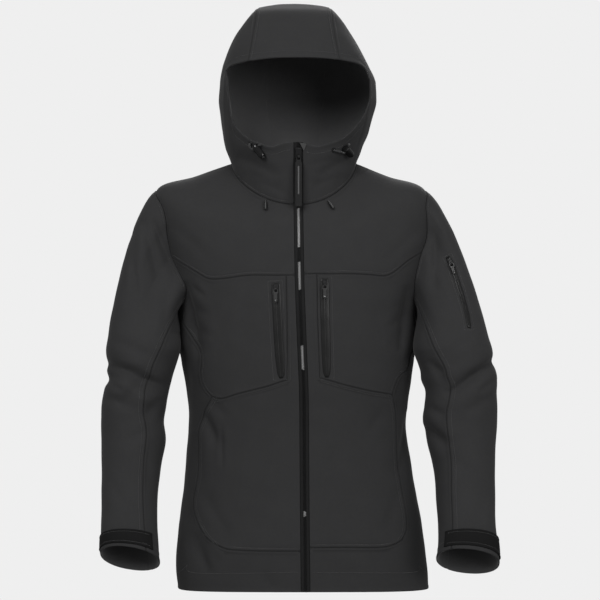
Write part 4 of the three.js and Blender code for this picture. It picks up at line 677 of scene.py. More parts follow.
def sleeve_grid(name, armhole):
    """One sleeve as rows of points from the armhole to the cuff."""
    rings = SLEEVE_RINGS[name]
    sign = FRONT_SEAMS[name]["sign"]
    start = spot_points(armhole)
    angle = np.linspace(0, 360, len(armhole))
    to = sleeve_point(rings, sign, 0, angle)
    after = sleeve_point(rings, sign, 0.5, angle)
    reach = np.linalg.norm(to - start, axis=1)[:, None]
    across = np.cos(np.radians(angle))
    ends = np.where(across > 0, CAP_LEAVE["tip"], CAP_LEAVE["under"])
    drop = np.radians(CAP_LEAVE["side"] + (ends - CAP_LEAVE["side"]) * np.abs(across))
    leave = unit(np.stack([sign * np.cos(drop), -0.35 * np.sin(np.radians(angle)), -np.sin(drop)], axis=1))
    leave = leave * reach * CAP_LEAVE["reach"]
    land = unit(after - to) * reach * CAP_LEAVE["land"]
    rows = [start]
    cap, tube = STEPS["sleeve_cap"] * FINE, STEPS["sleeve_tube"] * FINE
    for k in range(1, cap + tube + 1):
        if k > cap:
            line = sleeve_point(rings, sign, (len(rings["z"]) - 1) * (k - cap) / tube, angle)
        else:
            t = k / cap
            line = ((2 * t ** 3 - 3 * t ** 2 + 1) * start + (t ** 3 - 2 * t ** 2 + t) * leave
                    + (3 * t ** 2 - 2 * t ** 3) * to + (t ** 3 - t ** 2) * land)
        middle = (line[0] + line[len(line) // 2]) / 2
        pressed = press_folds(name, line, middle)
        rows.append(line + (pressed - line) * min(1, k / FINE))
    return np.stack(rows)


HALVES = {name: body_seams(name) for name in FRONT_SEAMS}
BACK_YOKE_SPOTS = [(-150, 3.6), (-180, 3.7), (-210, 3.6)]
BACK_HEM_SPOTS = [(-98, HEM_RING), (-140, HEM_RING), (-180, HEM_RING), (-220, HEM_RING), (-262, HEM_RING)]
BACK_NECK = sample_spots([(-90, 0), (-135, 0), (-180, 0), (-225, 0), (-270, 0)],
                         2 * STEPS["neck_back_side"] + STEPS["neck_back_middle"])


def wrap_back(spots):
    """Angles of photo right turned on, so that they run on from photo left behind."""
    turned = spots.copy()
    turned[:, 0] = np.where(turned[:, 0] > 0, turned[:, 0] - 360, turned[:, 0])
    return turned


# Heights that the main zip passes on its way up the hood, from the top down
ZIP_HOOD_HEIGHTS = (FACE_TOP, -5, -40)


def face_and_crown(name):
    """The seams of one side of the hood: face opening, crown, nape, zip and neck."""
    run = HALVES[name]
    sign = FRONT_SEAMS[name]["sign"]
    neck_line = spot_points(run["neck"])
    back = spot_points(BACK_NECK if name == "left" else BACK_NECK[::-1])
    neck_side = back[:STEPS["neck_back_side"] * FINE + 1]
    zip_x = BODY_RINGS["zip_x"][0] + sign * ZIP_HALF
    zip_top, *zip_down = hood_front([(zip_x, z) for z in ZIP_HOOD_HEIGHTS])
    face = sample_points([zip_top, *hood_front(FACE_EDGES[name])], STEPS["face_side"])
    brow = sample_points([face[-1], *hood_front(BROW_EDGES[name])], STEPS["brow_side"])
    strip = [hood_over(read_smooth(STRIP_EDGES, "angle", name, a), a) for a in CROWN_ANGLES + NAPE_ANGLES]
    crown = sample_points([brow[-1], *strip[:len(CROWN_ANGLES)]], STEPS["crown_side"])
    nape = sample_points([crown[-1], *strip[len(CROWN_ANGLES):], neck_side[-1]],
                         STEPS["brow_side"] + STEPS["hood_height"])
    temple = around_hood(face[-1], nape[STEPS["brow_side"] * FINE], STEPS["crown_side"])
    zip_line = sample_points([zip_top, *zip_down, neck_line[-1]], STEPS["hood_height"])
    return {"face": face, "brow": brow, "crown": crown, "nape": nape, "temple": temple, "zip": zip_line,
            "neck": join(neck_line[::-1], neck_side)}


HOOD = {name: face_and_crown(name) for name in FRONT_SEAMS}


def cloth_patches():
    """The grids of points that make up each cloth piece, on the middle of its wall."""
    patches = {}
    for name, run in HALVES.items():
        patches[f"front_yoke_{name}"] = [
            spot_patch(join(run["shoulder"], run["neck"]), run["yoke"], run["armhole_yoke"], run["zip_yoke"])]
        patches[f"front_chest_{name}"] = [
            spot_patch(run["yoke"][:-FINE], run["slant"][:-FINE],
                       join(run["armhole_chest"], run["chest_side"]), run["strip"])]
        patches[f"front_lower_{name}"] = [
            spot_patch(run["yoke"][-FINE - 1:], run["slant"][-FINE - 1:], run["strip"], run["zip_strip"]),
            spot_patch(run["slant"], run["lower_hem"], run["lower_side"], run["zip_lower"])]
        patches[f"side_hem_{name}"] = [
            spot_patch(join(run["chest_side"], run["lower_side"], run["lower_hem"]),
                       join(run["side_seam"], run["hem"]), run["armhole_side"], run["zip_hem"])]
    left, right = HALVES["left"], {key: wrap_back(run) for key, run in HALVES["right"].items()}
    across = 2 * STEPS["shoulder"] + 2 * STEPS["neck_back_side"] + STEPS["neck_back_middle"]
    yoke_seam = sample_spots([left["armhole_back"][-1], *BACK_YOKE_SPOTS, right["armhole_back"][-1]], across)
    hem = sample_spots(BACK_HEM_SPOTS, across)
    patches["back_yoke"] = [
        spot_patch(join(left["shoulder"], BACK_NECK, right["shoulder"][::-1]), yoke_seam,
                   left["armhole_back_yoke"][::-1], right["armhole_back_yoke"][::-1])]
    patches["back_body"] = [
        spot_patch(yoke_seam, hem, join(left["armhole_back"][::-1], left["side_seam"]),
                   join(right["armhole_back"][::-1], right["side_seam"]))]
    front_column = (STEPS["yoke_height"] + STEPS["armhole_chest"]) * FINE
    back_column = front_column + 2 * STEPS["armhole_side"] * FINE
    for name, run in HALVES.items():
        grid = sleeve_grid(name, run["armhole"])
        ring = grid.shape[1] - 1
        upper = np.arange(back_column - ring, front_column + 1) % ring
        patches[f"sleeve_upper_{name}"] = [grid[:, upper]]
        patches[f"sleeve_under_{name}"] = [grid[:, front_column:back_column + 1]]
    for name, run in HOOD.items():
        low = STEPS["brow_side"] * FINE
        patches[f"hood_side_{name}"] = [
            hood_patch(run["crown"], run["temple"], run["brow"][::-1], run["nape"][:low + 1]),
            hood_patch(join(run["face"], run["temple"]), run["neck"], run["zip"], run["nape"][low:])]
    brim = sample_points([HOOD["left"]["brow"][-1], *hood_front(BRIM_MIDDLE), HOOD["right"]["brow"][-1]],
                         STEPS["neck_back_middle"])
    back = spot_points(BACK_NECK)
    left_end = STEPS["neck_back_side"] * FINE
    middle = slice(left_end, left_end + STEPS["neck_back_middle"] * FINE + 1)
    patches["hood_centre"] = [
        hood_patch(brim, back[middle], join(HOOD["left"]["crown"], HOOD["left"]["nape"]),
                   join(HOOD["right"]["crown"], HOOD["right"]["nape"]))]
    return patches


# Lines added beside every edge of a grid, in millimetres from it, for the seam's groove and its stitch line
EDGE_LINES = (0.6, 1.5, 3.0, 4.5, 5.2, 5.9)
STITCH_LINE = 5.2


def insert_lines(grid, places, gauge=slice(None)):
    """Adds lines near given columns of a grid, spaced as on its gauge row.

    Places are pairs of a column and the direction to go from it.
    """
    count = grid.shape[1]
    at = [np.arange(count, dtype=float)]
    for column, direction in places:
        column %= count
        gap = np.linalg.norm(grid[gauge, column + direction] - grid[gauge, column], axis=-1).mean()
        at.append(column + direction * np.clip(np.array(EDGE_LINES) / gap, 0, 0.85))
    at = np.unique(np.concatenate(at))
    low = np.minimum(at.astype(int), count - 2)
    part = (at - low)[None, :, None]
    return grid[:, low] * (1 - part) + grid[:, low + 1] * part


def with_edge_lines(grid, inner_columns=(), gauge=slice(None)):
    """A grid with lines added along its edges."""
    wide = insert_lines(grid, [(0, 1), (-1, -1), *inner_columns], gauge)
    return insert_lines(wide.transpose(1, 0, 2), [(0, 1), (-1, -1)]).transpose(1, 0, 2)


# Points are joined where they agree to one part in this many of a millimetre
WELD_PARTS = 100


def grid_quads(ids):
    """The quads between the points of a grid, given by their numbers."""
    return np.stack([ids[:-1, :-1], ids[1:, :-1], ids[1:, 1:], ids[:-1, 1:]], axis=-1).reshape(-1, 4)


def weld(grids):
    """Joins grids of points into one set of vertices and quads."""
    points = np.concatenate([grid.reshape(-1, 3) for grid in grids])
    keys = np.round(points * WELD_PARTS).astype(np.int64)
    _, first, index = np.unique(keys, axis=0, return_index=True, return_inverse=True)
    index = index.reshape(-1)
    quads, start = [], 0
    for grid in grids:
        rows, columns = grid.shape[:2]
        ids = index[start:start + rows * columns].reshape(rows, columns)
        start += rows * columns
        quads.append(grid_quads(ids))
    quads = np.concatenate(quads)
    whole = (quads != np.roll(quads, 1, axis=1)).all(axis=1)
    return points[first], quads[whole]


def quad_normals(points, quads):
    """Normals of quads, as long as twice their area."""
    a, b, c, d = (points[quads[:, k]] for k in range(4))
    return np.cross(c - a, d - b)


def outward_quads(points, quads, centre):
    """Quads turned to face away from a centre line."""
    away = points[quads].mean(axis=1) - centre
    away[:, 2] = 0
    if (quad_normals(points, quads) * away).sum() < 0:
        return quads[:, ::-1]
    return quads


def vertex_normals(points, quads):
    """Normals at the points of a mesh."""
    total = np.zeros_like(points)
    face = quad_normals(points, quads)
    for k in range(4):
        np.add.at(total, quads[:, k], face)
    return unit(total)


def rim_of(quads):
    """Directed edges that only one quad has."""
    edges = np.concatenate([quads[:, [k, (k + 1) % 4]] for k in range(4)])
    low, high = edges.min(axis=1), edges.max(axis=1)
    key = low.astype(np.int64) * (high.max() + 1) + high
    _, index, count = np.unique(key, return_index=True, return_counts=True)
    return edges[index[count == 1]]


def wall_rim(rim, count):
    """The quads that close the edge of a wall whose second face starts at the given number."""
    return np.stack([rim[:, 1], rim[:, 0], rim[:, 0] + count, rim[:, 1] + count], axis=1)


POINTS_AT_ONCE = 2000


def distance_to(points, starts, ends):
    """Distance from points to the nearest of some straight pieces of line."""
    best = np.full(len(points), np.inf)
    line = ends - starts
    square = np.maximum((line ** 2).sum(axis=1), 1e-9)
    for low in range(0, len(points), POINTS_AT_ONCE):
        away = points[low:low + POINTS_AT_ONCE, None] - starts[None]
        t = np.clip((away * line[None]).sum(axis=2) / square[None], 0, 1)
        best[low:low + POINTS_AT_ONCE] = np.linalg.norm(away - t[..., None] * line[None], axis=2).min(axis=1)
    return best


class Cloth:
    """One cut piece: its points, quads, normals, rim and how far each point is from a seam."""

    def __init__(self, name, grids):
        self.grids = grids
        if len(grids) == 2:
            corner = STEPS["face_side"] * FINE if name.startswith("hood") else -1 - FINE
            fine = [with_edge_lines(grids[0], (), -1), with_edge_lines(grids[1], [(corner, 1)], 0)]
        else:
            fine = [with_edge_lines(grids[0])]
        points, quads = weld(fine)
        self.centre = piece_centre(name)
        self.quads = outward_quads(points, quads, self.centre)
        self.points = points
        self.normals = vertex_normals(points, self.quads)
        self.rim = rim_of(self.quads)
        self.rim_ids = np.unique(self.rim)


def piece_centre(name):
    """A place inside the part of the body that a piece goes round."""
    if name.startswith("hood"):
        return np.array([HOOD_X, HOOD_Y, HOOD_Z])
    if name.startswith("sleeve"):
        cuff = SLEEVE_RINGS[name.split("_")[-1]]
        return np.array([(cuff["outer"][-1] + cuff["inner"][-1]) / 2, cuff["y"][-1], 0.0])
    return np.zeros(3)


CLOTH = {name: Cloth(name, grids) for name, grids in cloth_patches().items()}
SEAM_REACH = 3.0
NO_SEAM_NEAR = 50.0


def match_seams():
    """Finds which rim points lie on a seam, and turns both pieces' edges the same way there."""
    owners, places = [], []
    for name, cloth in CLOTH.items():
        for i in cloth.rim_ids:
            owners.append((name, int(i)))
            places.append(cloth.points[i])
    tree = kdtree.KDTree(len(places))
    for k, place in enumerate(places):
        tree.insert(place, k)
    tree.balance()
    for cloth in CLOTH.values():
        cloth.on_seam = np.zeros(len(cloth.points), bool)
        cloth.edge_normals = cloth.normals.copy()
    for k, (name, i) in enumerate(owners):
        cloth = CLOTH[name]
        total = cloth.normals[i].copy()
        met = set()
        for _, other, _ in sorted(tree.find_range(places[k], SEAM_REACH), key=lambda found: found[2]):
            other_name, j = owners[other]
            if other_name != name and other_name not in met:
                met.add(other_name)
                total += CLOTH[other_name].normals[j]
        cloth.on_seam[i] = bool(met)
        cloth.edge_normals[i] = unit(total)
    for cloth in CLOTH.values():
        seam = cloth.on_seam[cloth.rim].all(axis=1)
        starts, ends = cloth.points[cloth.rim[:, 0]], cloth.points[cloth.rim[:, 1]]
        far = np.full(len(cloth.points), NO_SEAM_NEAR)
        cloth.seam_distance = distance_to(cloth.points, starts[seam], ends[seam]) if seam.any() else far
        cloth.edge_distance = distance_to(cloth.points, starts, ends)


match_seams()


def set_back(cloth, gap):
    """Moves rim points back from the seam by half its gap."""
    points = cloth.points.copy()
    on_rim = np.zeros(len(points), bool)
    on_rim[cloth.rim_ids] = True
    total, count = np.zeros_like(points), np.zeros(len(points))
    for k in range(4):
        for other in range(4):
            a, b = cloth.quads[:, k], cloth.quads[:, other]
            use = on_rim[a] & ~on_rim[b]
            np.add.at(total, a[use], points[b[use]])
            np.add.at(count, a[use], 1)
    moved = on_rim & (count > 0)
    way = unit(total[moved] / count[moved][:, None] - points[moved])
    points[moved] += way * gap / 2
    return points


def grid_normals(grid, centre):
    """Normals at the points of a grid, facing away from a centre line."""
    normals = unit(np.cross(np.gradient(grid, axis=0), np.gradient(grid, axis=1)))
    away = grid - centre
    away[..., 2] = 0
    return normals if (normals * away).sum() > 0 else -normals


def inset(cloth, side, distance, span=(0, None), patch=0):
    """A line on a cloth piece at a fixed distance from one side of its pattern, with the cloth's normals."""
    grid = cloth.grids[patch]
    both = np.concatenate([grid, grid_normals(grid, cloth.centre)], axis=2)
    turned = {"top": both, "bottom": both[::-1], "start": both.transpose(1, 0, 2),
              "end": both.transpose(1, 0, 2)[::-1]}[side]
    steps = np.linalg.norm(np.diff(turned[..., :3], axis=0), axis=2)
    edge = turned[0, :, :3]
    along = unit(np.gradient(edge, axis=0))
    first = unit(turned[1, :, :3] - edge)
    sine = np.sqrt(np.clip(1 - (along * first).sum(axis=1) ** 2, 0.15, 1))
    far = np.concatenate([np.zeros((1, len(edge))), np.cumsum(steps, axis=0)]) * sine
    line = np.array([[np.interp(distance, far[:, i], turned[:, i, k]) for k in range(6)]
                     for i in range(len(edge))])
    low, high = span
    line = line[low * FINE:None if high is None else high * FINE + 1]
    return line[:, :3], unit(line[:, 3:])


def resample(points, normals, pitch):
    """A line with evenly spaced points."""
    length = np.concatenate([[0], np.cumsum(np.linalg.norm(np.diff(points, axis=0), axis=1))])
    count = max(2, int(length[-1] // pitch))
    target = np.linspace(0, length[-1], count + 1)
    both = np.concatenate([points, normals], axis=1)
    out = np.stack([np.interp(target, length, both[:, k]) for k in range(6)], axis=1)
    return out[:, :3], unit(out[:, 3:])


# Trims are laid on cloth by rays that start in front of it
RAY_START = -400
TO_BACK = Vector((0, 1, 0))


def surface_of(names, lift):
    """Outer surface of some cloth pieces, for laying trims on it."""
    points, quads, start = [], [], 0
    for name in names:
        cloth = CLOTH[name]
        points.append(cloth.points + cloth.normals * lift)
        quads.append(cloth.quads + start)
        start += len(cloth.points)
    return BVHTree.FromPolygons(np.concatenate(points).tolist(), np.concatenate(quads).tolist())


def seen_on(tree, x, z):
    """The place and normal seen from the front at a given x and z."""
    place, normal, _, _ = tree.ray_cast(Vector((x, RAY_START, z)), TO_BACK)
    if place is None:
        raise RuntimeError(f"nothing to lie on at {x}, {z}")
    normal = np.array(normal)
    return np.array(place), normal if normal[1] < 0 else -normal


class Maths:
    """A number that varies over a surface. Its operators add Math nodes."""

    def __init__(self, finish, socket):
        self.finish = finish
        self.socket = socket

    def work(self, operation, *values):
        node = self.finish.node("ShaderNodeMath", {"operation": operation}, dict(enumerate(values)))
        return Maths(self.finish, node.outputs[0])

    def __add__(self, other):
        return self.work("ADD", self, other)

    __radd__ = __add__

    def __mul__(self, other):
        return self.work("MULTIPLY", self, other)

    __rmul__ = __mul__

    def clamped(self):
        return self.work("MINIMUM", self.work("MAXIMUM", self, 0.0), 1.0)


class Finish:
    """A material under construction."""

    def __init__(self, name, roughness, **constants):
        self.material = bpy.data.materials.new(name)
        self.material.use_nodes = True
        self.tree = self.material.node_tree
        self.shader = self.tree.nodes["Principled BSDF"]
        self.shader.inputs["Roughness"].default_value = roughness
        for socket, value in constants.items():
            self.shader.inputs[socket.replace("_", " ")].default_value = value
        self.place = self.node("ShaderNodeTexCoord").outputs["Object"]

    def node(self, kind, settings=None, inputs=None):
        node = self.tree.nodes.new(kind)
        for key, value in (settings or {}).items():
            setattr(node, key, value)
        for key, value in (inputs or {}).items():
            if isinstance(value, Maths):
                value = value.socket
            if isinstance(value, bpy.types.NodeSocket):
                self.tree.links.new(value, node.inputs[key])
            else:
                node.inputs[key].default_value = value
        return node

    def noise(self, size, detail=2.0):
        """Soft noise with spots of about the given size in millimetres."""
        node = self.node("ShaderNodeTexNoise", {},
                         {"Vector": self.place, "Scale": 1 / (size * MM), "Detail": detail})
        return Maths(self, node.outputs["Fac"])

    def bands(self, pitch, direction):
        """Parallel threads at a given pitch in millimetres, across X, Y, Z or DIAGONAL."""
        node = self.node("ShaderNodeTexWave", {"wave_type": "BANDS", "bands_direction": direction},
                         {"Vector": self.place, "Scale": math.tau / (20 * pitch * MM), "Distortion": 0.0})
        return Maths(self, node.outputs["Fac"])

    def attribute(self, name):
        node = self.node("ShaderNodeAttribute", {"attribute_name": name})
        return Maths(self, node.outputs["Fac"])

    def mix(self, factor, first, second):
        node = self.node("ShaderNodeMix", {"data_type": "RGBA"}, {0: factor, 6: first, 7: second})
        return node.outputs[2]

    def colour(self, socket):
        self.tree.links.new(socket, self.shader.inputs["Base Color"])

    def roughness(self, value):
        self.tree.links.new(value.socket, self.shader.inputs["Roughness"])

    def relief(self, height, depth):
        """Bumps of the given depth in millimetres."""
        node = self.node("ShaderNodeBump", {}, {"Height": height, "Distance": depth * MM, "Strength": 1.0})
        self.tree.links.new(node.outputs[0], self.shader.inputs["Normal"])


def shade(colour, factor):
    """A lighter or darker colour."""
    return tuple(min(1.0, value * factor) for value in colour[:3]) + (1.0,)


def cloth_finish(name, colour, relief, seam_shade=0.5):
    """Woven face cloth: fine threads, faint mottling, and painted shade that darkens the seam grooves and
    stitch trenches.
    """
    finish = Finish(name, 0.86, Sheen_Weight=0.09, Sheen_Roughness=0.4, Specular_IOR_Level=0.2)
    mottle = finish.noise(38, 3) * 0.6 + finish.noise(6, 2) * 0.4
    base = finish.mix(mottle.clamped(), shade(colour, 0.86), shade(colour, 1.14))
    # Painted shade: the seam attribute darkens the colour in seam grooves and under the stitch trenches.
    seam = finish.attribute("seam")
    seam_shaded = finish.mix((seam * seam_shade).clamped(), base, shade(colour, 0.3))
    finish.colour(seam_shaded)
    threads = finish.bands(0.9, "DIAGONAL") * 0.5 + finish.noise(0.8, 2) * 0.5
    finish.roughness(0.78 + finish.noise(4, 2) * 0.16)
    finish.relief(threads + finish.noise(5, 3) * 1.6 + seam * finish.noise(7, 1) * 3, relief)
    return finish.material


def backing_finish(name, colour):
    """Brushed inside face."""
    finish = Finish(name, 0.95, Sheen_Weight=0.3, Sheen_Roughness=0.6, Specular_IOR_Level=0.2)
    nap = finish.noise(1.5, 4) * 0.7 + finish.noise(12, 2) * 0.3
    finish.colour(finish.mix(nap.clamped(), shade(colour, 0.75), shade(colour, 1.25)))
    finish.relief(nap, 0.35)
    return finish.material


def ribbed_finish(name, colour, pitch, roughness, direction="Z"):
    """Woven tape or webbing with ribs across it."""
    finish = Finish(name, roughness, Specular_IOR_Level=0.2)
    ribs = finish.bands(pitch, direction)
    grain = finish.noise(1.2, 2)
    finish.colour(finish.mix((ribs * 0.5 + grain * 0.5).clamped(), shade(colour, 0.75), shade(colour, 1.25)))
    finish.relief(ribs + grain * 0.4, 0.12)
    return finish.material


def coated_finish(name, colour):
    """Glossy film over a zip's tape."""
    finish = Finish(name, 0.4, Specular_IOR_Level=0.3, Coat_Weight=0.1, Coat_Roughness=0.25)
    wave = finish.noise(9, 2)
    finish.colour(finish.mix(wave.clamped(), shade(colour, 0.8), shade(colour, 1.2)))
    finish.roughness(0.3 + finish.noise(14, 2) * 0.25)
    finish.relief(wave + finish.bands(1.4, "Z") * 0.12, 0.3)
    return finish.material


def moulded_finish(name, colour, roughness, grain=0.08, **constants):
    """Moulded rubber or plastic with a fine spark texture."""
    finish = Finish(name, roughness, **constants)
    spots = finish.noise(0.7, 3)
    finish.colour(finish.mix(spots.clamped(), shade(colour, 0.85), shade(colour, 1.15)))
    finish.roughness(roughness - 0.05 + finish.noise(2.5, 2) * 0.1)
    finish.relief(spots, grain)
    return finish.material


def metal_finish(name, colour):
    """Lacquered zinc with small scuffs."""
    finish = Finish(name, 0.32, Metallic=0.75, Coat_Weight=0.3, Coat_Roughness=0.25)
    scuff = finish.noise(1.1, 4)
    finish.colour(finish.mix(scuff.clamped(), shade(colour, 0.7), shade(colour, 1.5)))
    finish.roughness(0.25 + finish.noise(1.8, 3) * 0.2)
    finish.relief(scuff, 0.05)
    return finish.material


def braid_finish(name, colour):
    """Braided cord cover."""
    finish = Finish(name, 0.8, Sheen_Weight=0.3, Sheen_Roughness=0.5)
    braid = finish.bands(0.9, "DIAGONAL") * 0.6 + finish.noise(0.6, 2) * 0.4
    finish.colour(finish.mix(braid.clamped(), shade(colour, 0.6), shade(colour, 1.5)))
    finish.relief(braid, 0.25)
    return finish.material


def build_finishes(colours):
    """All materials, by a short name."""
    return {
        "shell": cloth_finish("shell_cloth", colours.shell, 0.05),
        "panel": cloth_finish("panel_cloth", colours.panel, 0.05),
        "backing": backing_finish("cloth_backing", colours.backing),
        # Painted light: the hood's inside takes a lighter copy of the backing to brighten its shaded hollow
        "hood_backing_painted_light": backing_finish("hood_backing_painted_light", colours.hood_backing_painted_light),
        "tape": ribbed_finish("zip_tape_weave", colours.tape, 1.1, 0.7),
        "coated": coated_finish("coated_zip_tape", colours.coated),
        "strap": ribbed_finish("cuff_strap_weave", colours.strap, 1.3, 0.8, "X"),
        "rubber": moulded_finish("soft_rubber", colours.rubber, 0.5, Specular_IOR_Level=0.3),
        "stripe": moulded_finish("pull_stripe", colours.stripe, 0.5),
        "metal": metal_finish("lacquered_metal", colours.metal),
        "teeth": metal_finish("zip_teeth", colours.teeth),
        # Painted highlight: pale teeth that stand for glints on the zip
        "glint_teeth": metal_finish("glinting_zip_teeth", colours.glint_teeth),
        "small_pull": moulded_finish("small_pull_rubber", colours.small_pull, 0.3, 0.03, Coat_Weight=0.5),
        "gloss": moulded_finish("glossy_rubber", colours.rubber, 0.22, 0.01, Coat_Weight=1.0,
                                Coat_Roughness=0.12),
        "plastic": moulded_finish("lock_plastic", colours.plastic, 0.2, 0.01, Specular_IOR_Level=0.35),
        "cord": braid_finish("cord_braid", colours.cord),
        "thread": braid_finish("sewing_thread", colours.thread),
        "flap": cloth_finish("flap_cloth", colours.flap, 0.04, 0.2),
    }


def build_piece(name, points, faces, materials, which=None, seam=None, smooth=True):
    """Makes an object from points in millimetres."""
    mesh = bpy.data.meshes.new(name)
    mesh.from_pydata((np.asarray(points) * MM).tolist(), [], faces)
    for material in materials:
        mesh.materials.append(material)
    if which is not None:
        mesh.polygons.foreach_set("material_index", np.asarray(which, np.int32))
    # The seam attribute carries the painted shade of seam grooves and stitch trenches to the cloth's colour
    if seam is not None:
        mesh.attributes.new("seam", "FLOAT", "POINT").data.foreach_set("value", np.asarray(seam, np.float32))
    mesh.polygons.foreach_set("use_smooth", [smooth] * len(faces))
    mesh.update()
    piece = bpy.data.objects.new(name, mesh)
    bpy.context.scene.collection.objects.link(piece)
    return piece


def dress(piece, body, slot, *nodes):
    """Says which body a piece rides on and hides the nodes it stands for. The slot it is given is not used.
    """
    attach(piece, body)
    if nodes:
        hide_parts(*nodes)
    return piece


# Relief beside a seam: groove in it, ridge of turned-under cloth, trench under the stitches, roll of a hem.
# SHADE_WIDTH and TRENCH_SHADE set the painted shade in the groove and the trench.
GROOVE_WIDTH = 1.1
RIDGE_LINE, RIDGE_WIDTH, RIDGE_HEIGHT = 3.0, 1.5, 0.45
TRENCH_WIDTH, TRENCH_DEPTH, TRENCH_SHADE = 0.7, 0.4, 0.45
ROLL_LINE, ROLL_WIDTH = 2.2, 2.6
SHADE_WIDTH = 1.4


def swell_at(distance, line, width):
    """A soft swell from 0 to 1 round a line at some distance."""
    return np.exp(-((distance - line) / width) ** 2)


def cloth_wall(cloth, wall, gap, groove, hem_swell):
    """Closed wall of one cloth piece, grooved along its seams and rolled where its edge is free."""
    points, turned_under = set_back(cloth, gap), set_back(cloth, -gap)
    seam = swell_at(cloth.seam_distance, 0.0, GROOVE_WIDTH)
    ridge = swell_at(cloth.seam_distance, RIDGE_LINE, RIDGE_WIDTH)
    trench = swell_at(cloth.seam_distance, STITCH_LINE, TRENCH_WIDTH)
    free = cloth.edge_distance < cloth.seam_distance - 0.5
    roll = np.where(free, swell_at(cloth.edge_distance, ROLL_LINE, ROLL_WIDTH), 0)
    normals = np.where(cloth.on_seam[:, None], cloth.edge_normals, cloth.normals)
    rise = wall / 2 - groove * seam + RIDGE_HEIGHT * ridge - TRENCH_DEPTH * trench + hem_swell * roll
    outer = points + normals * rise[:, None]
    inner = turned_under - normals * (wall / 2 + 0.5 * hem_swell * roll)[:, None]
    count = len(points)
    rim = wall_rim(cloth.rim, count)
    faces = np.concatenate([cloth.quads, cloth.quads[:, ::-1] + count, rim])
    which = np.concatenate([np.zeros(len(cloth.quads)), np.ones(len(cloth.quads)), np.zeros(len(rim))])
    # Painted shade: darkening in the seam groove and under the stitch trench, passed on as the seam attribute
    shading = swell_at(cloth.seam_distance, 0.0, SHADE_WIDTH) + TRENCH_SHADE * trench
    return np.concatenate([outer, inner]), faces.tolist(), which, np.concatenate([shading, shading])


def make_cloth(names, finish, slot, sizes, backing="backing"):
    """Builds cut pieces of cloth from their patterns."""
    for name in names:
        points, faces, which, seam = cloth_wall(CLOTH[name], sizes.wall / MM, sizes.seam_gap / MM,
                                                sizes.groove / MM, sizes.hem_roll / MM)
        materials = [FINISHES[finish], FINISHES[backing]]
        piece = build_piece(f"{name}_cloth", points, faces, materials, which, seam)
        dress(piece, BODY, slot, name)


FINISHES = {}


# Routes of the short hood cords from eyelet through lock, repeated from the part's source
CORD_ROUTES = {
    "left": [
        (-82.02, -95.1, 29.06), (-83.47, -96.7, 28.69), (-83.65, -98.17, 27.22), (-82.97, -99.17, 25.39),
        (-82.05, -100.01, 23.59), (-80.92, -100.79, 21.88), (-79.43, -101.34, 20.39),
        (-77.59, -101.64, 19.23), (-75.67, -102.54, 19.12), (-74.22, -103.82, 20.14),
        (-72.97, -105.1, 21.41), (-71.67, -106.39, 22.62), (-70.34, -107.71, 23.76),
        (-69.03, -109.04, 24.92), (-67.5, -110.23, 25.94), (-65.57, -111.02, 26.6),
        (-63.52, -111.62, 27.09),
    ],
    "right": [
        (61.8, -96.33, 18.5), (63.29, -98.48, 17.72), (65.9, -98.11, 17.06), (68.39, -97, 16.57),
        (70.78, -95.67, 16.12), (73.09, -94.2, 15.69), (75.28, -92.56, 15.26), (77.06, -90.54, 14.67),
        (78.22, -88.13, 13.94), (79.6, -85.85, 14.21), (81.12, -85.01, 16.32), (82.42, -84.72, 18.75),
        (83.76, -84.33, 21.14), (85.19, -83.93, 23.48), (86.6, -83.42, 25.81), (87.84, -82.2, 27.94),
        (88.86, -80.4, 29.78),
    ],
}
CORD_RADIUS = 1.5
CORD_SIDES = 12


def tube(route, radius, sides):
    """A round cord along a route, with its ends closed."""
    route = np.array(route, float)
    ahead = unit(np.gradient(route, axis=0))
    side = unit(np.cross(ahead, np.array([0.3, 0.2, 1.0])))
    points = []
    for k, place in enumerate(route):
        up = np.cross(ahead[k], side[k])
        for i in range(sides):
            turn = math.tau * i / sides
            points.append(place + radius * (math.cos(turn) * side[k] + math.sin(turn) * up))
    faces = []
    for k in range(len(route) - 1):
        for i in range(sides):
            j = (i + 1) % sides
            faces.append((k * sides + i, k * sides + j, (k + 1) * sides + j, (k + 1) * sides + i))
    faces.append(tuple(range(sides))[::-1])
    last = (len(route) - 1) * sides
    faces.append(tuple(range(last, last + sides)))
    return points, faces


def zip_lines():
    """Middle line of the main zip and the free edge of the cloth on each side of it, from the top down."""
    rings = HALVES["left"]["zip"][:, 1]
    body = spot_points(spots_at_x(read_at(BODY_RINGS["zip_x"], rings), rings))
    zip_x = BODY_RINGS["zip_x"][0]
    hood_line = hood_front([(zip_x, z) for z in reversed(ZIP_HOOD_HEIGHTS)])
    hood = sample_points([body[0], *hood_line], STEPS["hood_height"])
    centre = join(hood[::-1], body)
    edges = {name: join(HOOD[name]["zip"], spot_points(run["zip"])) for name, run in HALVES.items()}
    return centre, edges


ZIP_CENTRE, ZIP_EDGES = zip_lines()


def zip_normals():
    """Normals along the main zip, facing forward."""
    across = unit(ZIP_EDGES["right"] - ZIP_EDGES["left"])
    normals = unit(np.cross(unit(np.gradient(ZIP_CENTRE, axis=0)), across))
    return normals if normals[:, 1].sum() < 0 else -normals


def closed_sheet(grid, normals, wall):
    """A grid of points made into a thin closed plate."""
    rows, columns = grid.shape[:2]
    upper = grid + normals * wall / 2
    lower = grid - normals * wall / 2
    ids = np.arange(rows * columns).reshape(rows, columns)
    quads = grid_quads(ids)
    count = rows * columns
    sides = wall_rim(rim_of(quads), count)
    faces = np.concatenate([quads, quads[:, ::-1] + count, sides])
    points = np.concatenate([upper.reshape(-1, 3), lower.reshape(-1, 3)])
    if (quad_normals(points, quads) * normals[:-1, :-1].reshape(-1, 3)).sum() < 0:
        faces = faces[:, ::-1]
    return points, faces.tolist()


